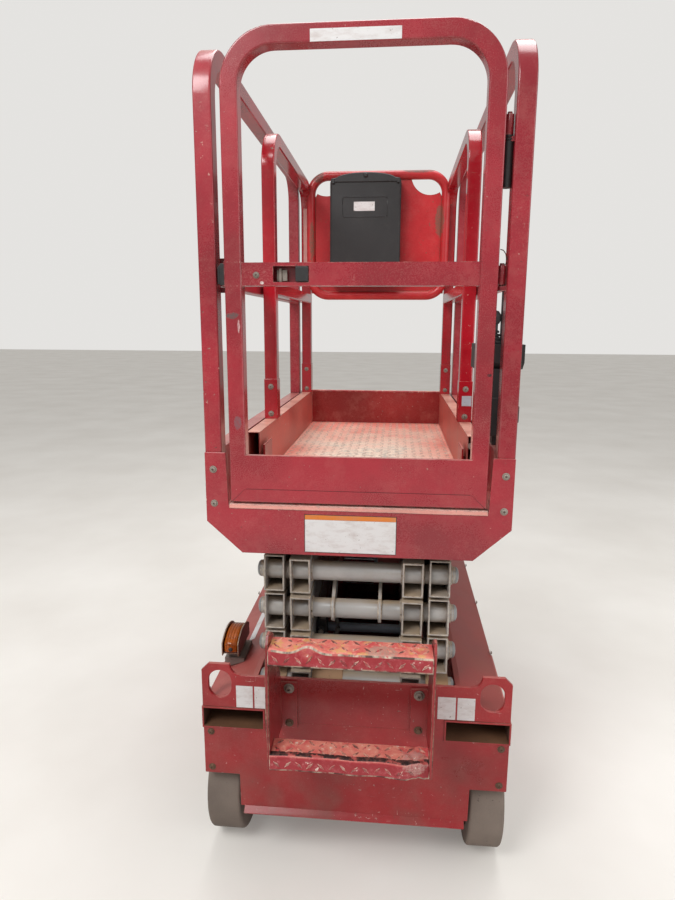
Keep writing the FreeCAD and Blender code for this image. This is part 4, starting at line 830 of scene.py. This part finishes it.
loop = [(0.3030, -0.550, 1.536), (0.3095, -0.549, 1.534), (0.3150, -0.548, 1.527), (0.3172, -0.547, 1.517),
        (0.3165, -0.547, 1.507), (0.3120, -0.548, 1.5015), (0.3080, -0.549, 1.4995)]
form.tube(loop, 0.0011, 8)
form.piece("latch_wire", "platform", zinc)

# Sill: bent tread plate over the top of the rear panel
SILL_TOP, SILL_FRONT = 0.9572, -0.5768
form.prism([(SILL_FRONT, 0.9474), (-0.5752, 0.9474), (-0.5752, 0.9552), (-0.5300, 0.9552),
            (-0.5300, SILL_TOP), (SILL_FRONT + 0.001, SILL_TOP), (SILL_FRONT, SILL_TOP - 0.001)], "X",
           -0.302, 0.302)
form.piece("sill", "platform", sill_paint)
form.lozenges((-0.300, -0.5755, SILL_TOP - 0.0002), RIGHT, FRONT, UP, 0.600, 0.044, pitch=0.022, bar=0.022,
              wide=0.006)
form.piece("sill_tread", "platform", sill_paint, smooth=0)

# Floors with raised tread
ext_low, ext_high = low_high("extension_deck")
inside = 0.272
form.lozenges((-inside, ext_low.y + 0.004, 0.9561), RIGHT, FRONT, UP, 2 * inside,
              ext_high.y - ext_low.y - 0.014, pitch=0.027)
form.piece("extension_tread", "extension", floor_marks, smooth=0)
form.box((-inside, ext_low.y + 0.001, 0.9556), (inside, ext_high.y - 0.0065, 0.9563))
form.piece("extension_floor_skin", "extension", floor_metal)
form.lozenges((-0.312, -0.530, 0.9470), RIGHT, FRONT, UP, 0.624, 0.18, pitch=0.027)
form.piece("platform_tread", "platform", floor_metal, smooth=0)

# Bolts of the platform and its extension
for z in (1.0405, 0.958):
    for x in (0.338, -0.338):
        form.bolt((x, PANEL_Y, z), REAR, 0.0060)
form.piece("panel_bolts", "platform", zinc)
for y, face in ((-0.081, -0.103), (0.699, 0.677)):
    for z in (1.108, 1.190):
        for x in (0.291, -0.291):
            form.bolt((x, face, z), REAR, 0.0059)
            form.bolt((x, 2 * y - face, z), FRONT, 0.0060, True)
form.piece("socket_bolts", "extension", zinc)

# Stop plates at the rear ends of the extension's channels, their end caps in the same deep red, and the toe
# board's bead
for side in (-1, 1):
    a, b = sorted((side * 0.2665, side * 0.2615))
    form.prism([(-0.344, 0.9565), (-0.244, 0.9565), (-0.244, 1.058), (-0.344, 1.058)], "X", a, b)
    a, b = sorted((side * 0.2760, side * 0.2620))
    form.box((a, -0.300, 0.990), (b, -0.292, 1.030))
form.piece("channel_stops", "extension", deep_red, 0.0008)
form.chance.seed(4)
form.tube([(-0.309 + 0.618 * k / 60, ext_high.y - 0.003, ext_high.z + 0.0005) for k in range(61)], 0.0045,
          10, 0.04)
form.piece("toe_bead", "extension", step_red)
form.rod((0.283, -0.3475, 1.068), (0.283, -0.3600, 1.068), 0.0060)
form.rod((0.283, -0.3600, 1.068), (0.283, -0.3640, 1.068), 0.0085)
form.piece("extension_pin", "extension", zinc)

# Old blank strip on the left extension rail
sign("rail_strip", "extension", (-0.3010, 0.6785, 1.600), (-0.2815, 0.6800, 1.900), striped)

# Document box: rounded body, lid arched over its front, one pressed rectangle, knob and blank label
box_low, box_high = low_high("document_box")
DOC_X, DOC_Z, DOC_TOP = (-0.184, 0.091), (1.532, 1.924), 1.948
DOC_FACE = box_low.y + 0.004


def rounded(x0, x1, z0, z1, radius, steps=5):
    """Outline in X and Z of a rectangle with round corners."""
    points = []
    for cx, cz, start in ((x1 - radius, z1 - radius, 0), (x0 + radius, z1 - radius, 90),
                          (x0 + radius, z0 + radius, 180), (x1 - radius, z0 + radius, 270)):
        for k in range(steps + 1):
            a = math.radians(start + 90 * k / steps)
            points.append((cx + radius * math.cos(a), cz + radius * math.sin(a)))
    return points


form.prism(rounded(*DOC_X, *DOC_Z, 0.012), "Y", DOC_FACE, box_high.y)
form.piece("document_case", "extension", black, 0.008, 40, replaces="document_box")
middle = (DOC_X[0] + DOC_X[1]) / 2
lid = [(DOC_X[0] + 0.004, DOC_Z[1] - 0.012), (DOC_X[0] + 0.004, DOC_Z[1] + 0.003),
       (DOC_X[0] + 0.016, DOC_Z[1] + 0.004)]
lid += [(middle + (DOC_X[1] - 0.022 - middle) * math.sin(a), DOC_Z[1] + (DOC_TOP - DOC_Z[1]) * math.cos(a))
        for a in (math.radians(-78 + 156 * k / 16) for k in range(17))]
lid += [(DOC_X[1] - 0.016, DOC_Z[1] + 0.004), (DOC_X[1] - 0.004, DOC_Z[1] + 0.003),
        (DOC_X[1] - 0.004, DOC_Z[1] - 0.012)]
form.prism(lid, "Y", box_low.y, box_high.y)
form.piece("document_lid", "extension", black, 0.003, 40, replaces="document_box")
ring = [(x, DOC_FACE, z) for x, z in rounded(-0.134, 0.038, 1.786, 1.859, 0.008)]
form.tube(ring + ring[:1], 0.0022, 8)
form.lathe((middle, box_low.y + 0.002, DOC_TOP - 0.011), REAR,
           [(0, 0), (0.0085, 0), (0.0085, 0.006), (0.006, 0.009), (0, 0.009)], 16)
for side in (DOC_X[0] + 0.012, DOC_X[1] - 0.012):
    form.box((side - 0.006, box_low.y - 0.003, DOC_Z[1] - 0.016),
             (side + 0.006, box_low.y + 0.002, DOC_Z[1] + 0.002))
form.piece("document_box_trim", "extension", black, 0.0008)
sign("document_label", "extension", (-0.091, DOC_FACE - THIN, 1.807), (-0.010, DOC_FACE, 1.841), white)

# Control box: joystick with its bellows, two buttons and stop button
top = 1.332
form.lathe((0.310, -0.440, top + 0.046), UP, [(0, 0), (0.015, 0.001), (0.019, 0.008), (0.019, 0.022),
                                              (0.014, 0.030), (0.006, 0.033), (0, 0.033)], 20)
for k in range(4):
    form.lathe((0.310, -0.440, top + 0.002 + 0.008 * k), UP,
               [(0.0255 - 0.003 * k, 0), (0.0265 - 0.003 * k, 0.003), (0.0235 - 0.003 * k, 0.006)], 20)
for x in (0.345, 0.362):
    form.lathe((x, -0.420, top - 0.001), UP,
               [(0, 0), (0.006, 0), (0.006, 0.006), (0.004, 0.008), (0, 0.008)], 14)
form.piece("control_parts", "platform", black)
form.lathe((0.353, -0.450, top - 0.001), UP, [(0, 0), (0.011, 0), (0.011, 0.008), (0.015, 0.011),
                                              (0.015, 0.018), (0.010, 0.022), (0, 0.023)], 22)
form.piece("stop_button", "platform", bright_red)

# Beacon: domed lens between two guard plates, on a folded bracket over the left cover

def hump(y0, y1, low, shoulder, top, steps=16):
    """Outline in Y and Z of a block with an arched top."""
    half, rise = (y1 - y0) / 2, top - shoulder
    round_r = (half ** 2 + rise ** 2) / (2 * rise)
    middle, centre = (y0 + y1) / 2, top - round_r
    sweep = math.asin(half / round_r)
    arc = [(middle + round_r * math.sin(a), centre + round_r * math.cos(a))
           for a in (-sweep + 2 * sweep * k / steps for k in range(steps + 1))]
    return [(y0, low)] + arc + [(y1, low)]


guard_low, guard_high = low_high("beacon_bracket")
lens_low, lens_high = low_high("beacon_lens")
LENS_Z = (0.510, 0.535, 0.557)
form.prism(hump(lens_low.y, lens_high.y, *LENS_Z), "X", lens_low.x, lens_high.x)
form.piece("beacon_glass", "chassis", make["amber_lens"], 0.0045, 35, replaces="beacon_lens")
for n in range(4):
    x = lens_low.x + (lens_high.x - lens_low.x) * (n + 1) / 5
    rib = hump(lens_low.y - 0.0004, lens_high.y + 0.0004, LENS_Z[0] + 0.004, LENS_Z[1], LENS_Z[2] + 0.0004)
    form.tube([(x, y, z) for y, z in rib], 0.0011, 8)
form.tube([(x, lens_low.y - 0.0004, LENS_Z[1]) for x in (lens_low.x + 0.004, lens_high.x - 0.004)], 0.0014,
          8)
form.piece("beacon_ribs", "chassis", make["amber_lens"])
guard = hump(guard_low.y + 0.003, guard_high.y - 0.003, LENS_Z[0] - 0.006, LENS_Z[1] + 0.004, guard_high.z)
for x0, x1 in ((lens_low.x - 0.005, lens_low.x - 0.002), (lens_high.x + 0.002, lens_high.x + 0.005)):
    form.prism(guard, "X", x0, x1)
form.box((lens_low.x - 0.005, guard_low.y + 0.014, LENS_Z[0] - 0.006),
         (lens_high.x + 0.005, guard_high.y - 0.003, LENS_Z[0] - 0.003))
form.piece("beacon_guards", "chassis", make["dark_red_paint"], 0.0006, replaces="beacon_bracket")
form.box((lens_low.x + 0.003, -0.432, 0.470),
         (lens_high.x - 0.003, guard_high.y - 0.012, LENS_Z[0] - 0.005))
form.prism([(lens_low.x - 0.006, 0.452), (lens_high.x + 0.012, 0.470), (lens_high.x + 0.012, 0.4815),
            (lens_low.x - 0.006, 0.4815)], "Y", -0.440, guard_high.y)
form.piece("beacon_foot", "chassis", bracket_grey, 0.0012, replaces="beacon_bracket")
form.lathe(((lens_low.x + lens_high.x) / 2, lens_low.y, LENS_Z[0] + 0.010), REAR,
           [(0, 0), (0.0058, 0), (0.0058, 0.002), (0.004, 0.004), (0, 0.004)], 16)
form.piece("beacon_screw", "chassis", black)

# Wheel bolts
for place in ("rear", "front"):
    for side, sign_x in (("right", 1), ("left", -1)):
        body = "wheel_%s_%s" % (place, side)
        low, high = low_high("rim_%s_%s" % (place, side))
        middle = (low + high) / 2
        face = high.x if sign_x > 0 else low.x
        for k in range(5):
            a = math.tau * (k + 0.25) / 5
            form.bolt((middle.x + sign_x * 0.008, middle.y + 0.066 * math.cos(a), middle.z
                       + 0.066 * math.sin(a)), (sign_x, 0, 0), 0.0085, True)
        form.piece("wheel_bolts_%s_%s" % (place, side), body, rusty)

# Tray doors: flush latch, hinge straps and louvres
for side, name in ((1, "right"), (-1, "left")):
    low, high = low_high("tray_" + name)
    face, out = (high.x, 1) if side > 0 else (low.x, -1)
    for k in range(5):
        z = 0.230 + 0.022 * k
        x0, x1 = sorted((face - out * 0.001, face + out * 0.0009))
        form.prism([(0.010, z), (0.190, z), (0.184, z + 0.008), (0.016, z + 0.008)], "X", x0, x1)
    form.piece("tray_louvres_" + name, "tray_" + name, plate_red, 0.0004)
    form.lathe((face - out * 0.001, -0.225, 0.350), (out, 0, 0),
               [(0, 0), (0.019, 0), (0.019, 0.0016), (0.013, 0.0019), (0.012, 0.0012), (0, 0.0012)], 24)
    form.piece("tray_latch_" + name, "tray_" + name, black)
    for z in (0.190, 0.380):
        x0, x1 = sorted((face - out * 0.001, face + out * 0.0009))
        form.box((x0, 0.300, z - 0.012), (x1, 0.376, z + 0.012))
    form.piece("tray_straps_" + name, "tray_" + name, plate_red, 0.0004)
    cover_face = 0.376 * out
    for y in (-0.540, -0.280, 0.060, 0.400, 0.700):
        form.bolt((cover_face, y, 0.447), (out, 0, 0), 0.0042)
    form.piece("cover_bolts_" + name, "chassis", zinc)

# Front plate's bolts
for x, z in ((0.345, 0.345), (0.345, 0.440), (0.150, 0.440), (0.092, 0.195)):
    for side in (1, -1):
        form.bolt((side * x, 0.7607, z), FRONT, 0.0062)
form.piece("front_plate_bolts", "chassis", zinc)

# Weld beads on the platform's rails
form.chance.seed(9)
for side in (-1, 1):
    x0, x1 = sorted((side * 0.3185, side * 0.3575))
    for y in (-0.5295, 0.6555):
        for z in (1.4605, 1.4995):
            form.weld((x0, y, z), (x1, y, z))
        form.weld((x0, y, 1.4605), (x0, y, 1.4995))
        form.weld((x1, y, 1.4605), (x1, y, 1.4995))
form.piece("rail_welds", "platform", red)


# Stage: pale floor, soft lamps

def plane(name, size, at):
    mesh = bpy.data.meshes.new(name)
    mesh.from_pydata([(-size, -size, 0), (size, -size, 0), (size, size, 0), (-size, size, 0)], [],
                     [(0, 1, 2, 3)])
    obj = bpy.data.objects.new(name, mesh)
    obj.location = at
    scene.collection.objects.link(obj)
    return obj


ground = plane("floor", 30.0, (0, 0, -0.0005))
tree = Tree("floor")
shade = tree.mix(tree.ramp(tree.noise(1.5, 4.0), 0.3, 0.7), (214, 210, 204), (226, 223, 218))
ground.data.materials.append(tree.finish(shade, 0.85))
tree.feed(tree.shader.inputs["Emission Color"], (236, 232, 226))
tree.feed(tree.shader.inputs["Emission Strength"],
          tree.times(tree.node("LightPath", {}, "Is Camera Ray"), 0.2))
ground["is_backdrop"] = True

world = bpy.data.worlds.new("studio")
scene.world = world
world.use_nodes = True
backdrop = world.node_tree.nodes["Background"]
backdrop.inputs["Color"].default_value = (1.0, 0.985, 0.96, 1.0)
LIGHT, SEEN = 0.44, 0.78
rays = world.node_tree.nodes.new("ShaderNodeLightPath")
strength = world.node_tree.nodes.new("ShaderNodeMapRange")
strength.inputs["To Min"].default_value = LIGHT
strength.inputs["To Max"].default_value = SEEN
world.node_tree.links.new(rays.outputs["Is Camera Ray"], strength.inputs["Value"])
world.node_tree.links.new(strength.outputs["Result"], backdrop.inputs["Strength"])


def lamp(name, at, aim, size, power):
    light = bpy.data.lights.new(name, "AREA")
    light.energy, light.size = power, size
    obj = bpy.data.objects.new(name, light)
    obj.location = at
    obj.rotation_euler = (Vector(aim) - Vector(at)).to_track_quat("-Z", "Y").to_euler()
    scene.collection.objects.link(obj)
    obj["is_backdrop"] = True


lamp("key", (-1.8, -3.2, 4.2), (0, -0.2, 0.9), 1.8, 120.0)
lamp("fill", (3.0, -2.2, 2.6), (0, 0, 1.0), 2.6, 40.0)
lamp("top", (0.2, 0.8, 4.6), (0, 0, 1.0), 2.6, 90.0)

# Camera
yaw, pitch, roll = (math.radians(v) for v in (CAMERA_YAW, CAMERA_PITCH, CAMERA_ROLL))
forward = Vector((-math.sin(yaw) * math.cos(pitch), math.cos(yaw) * math.cos(pitch), math.sin(pitch)))
right = forward.cross(Vector(UP)).normalized()
up = right.cross(forward)
right, up = right * math.cos(roll) + up * math.sin(roll), up * math.cos(roll) - right * math.sin(roll)
camera_data = bpy.data.cameras.new("camera")
camera_data.sensor_width, camera_data.lens = SENSOR, FOCAL_PX / FRAME_H_PX * SENSOR
camera = bpy.data.objects.new("camera", camera_data)
camera.matrix_world = Matrix(((right.x, up.x, -forward.x, CAMERA_AT.x),
                              (right.y, up.y, -forward.y, CAMERA_AT.y),
                              (right.z, up.z, -forward.z, CAMERA_AT.z), (0, 0, 0, 1)))
scene.collection.objects.link(camera)
scene.camera = camera

low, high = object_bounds()
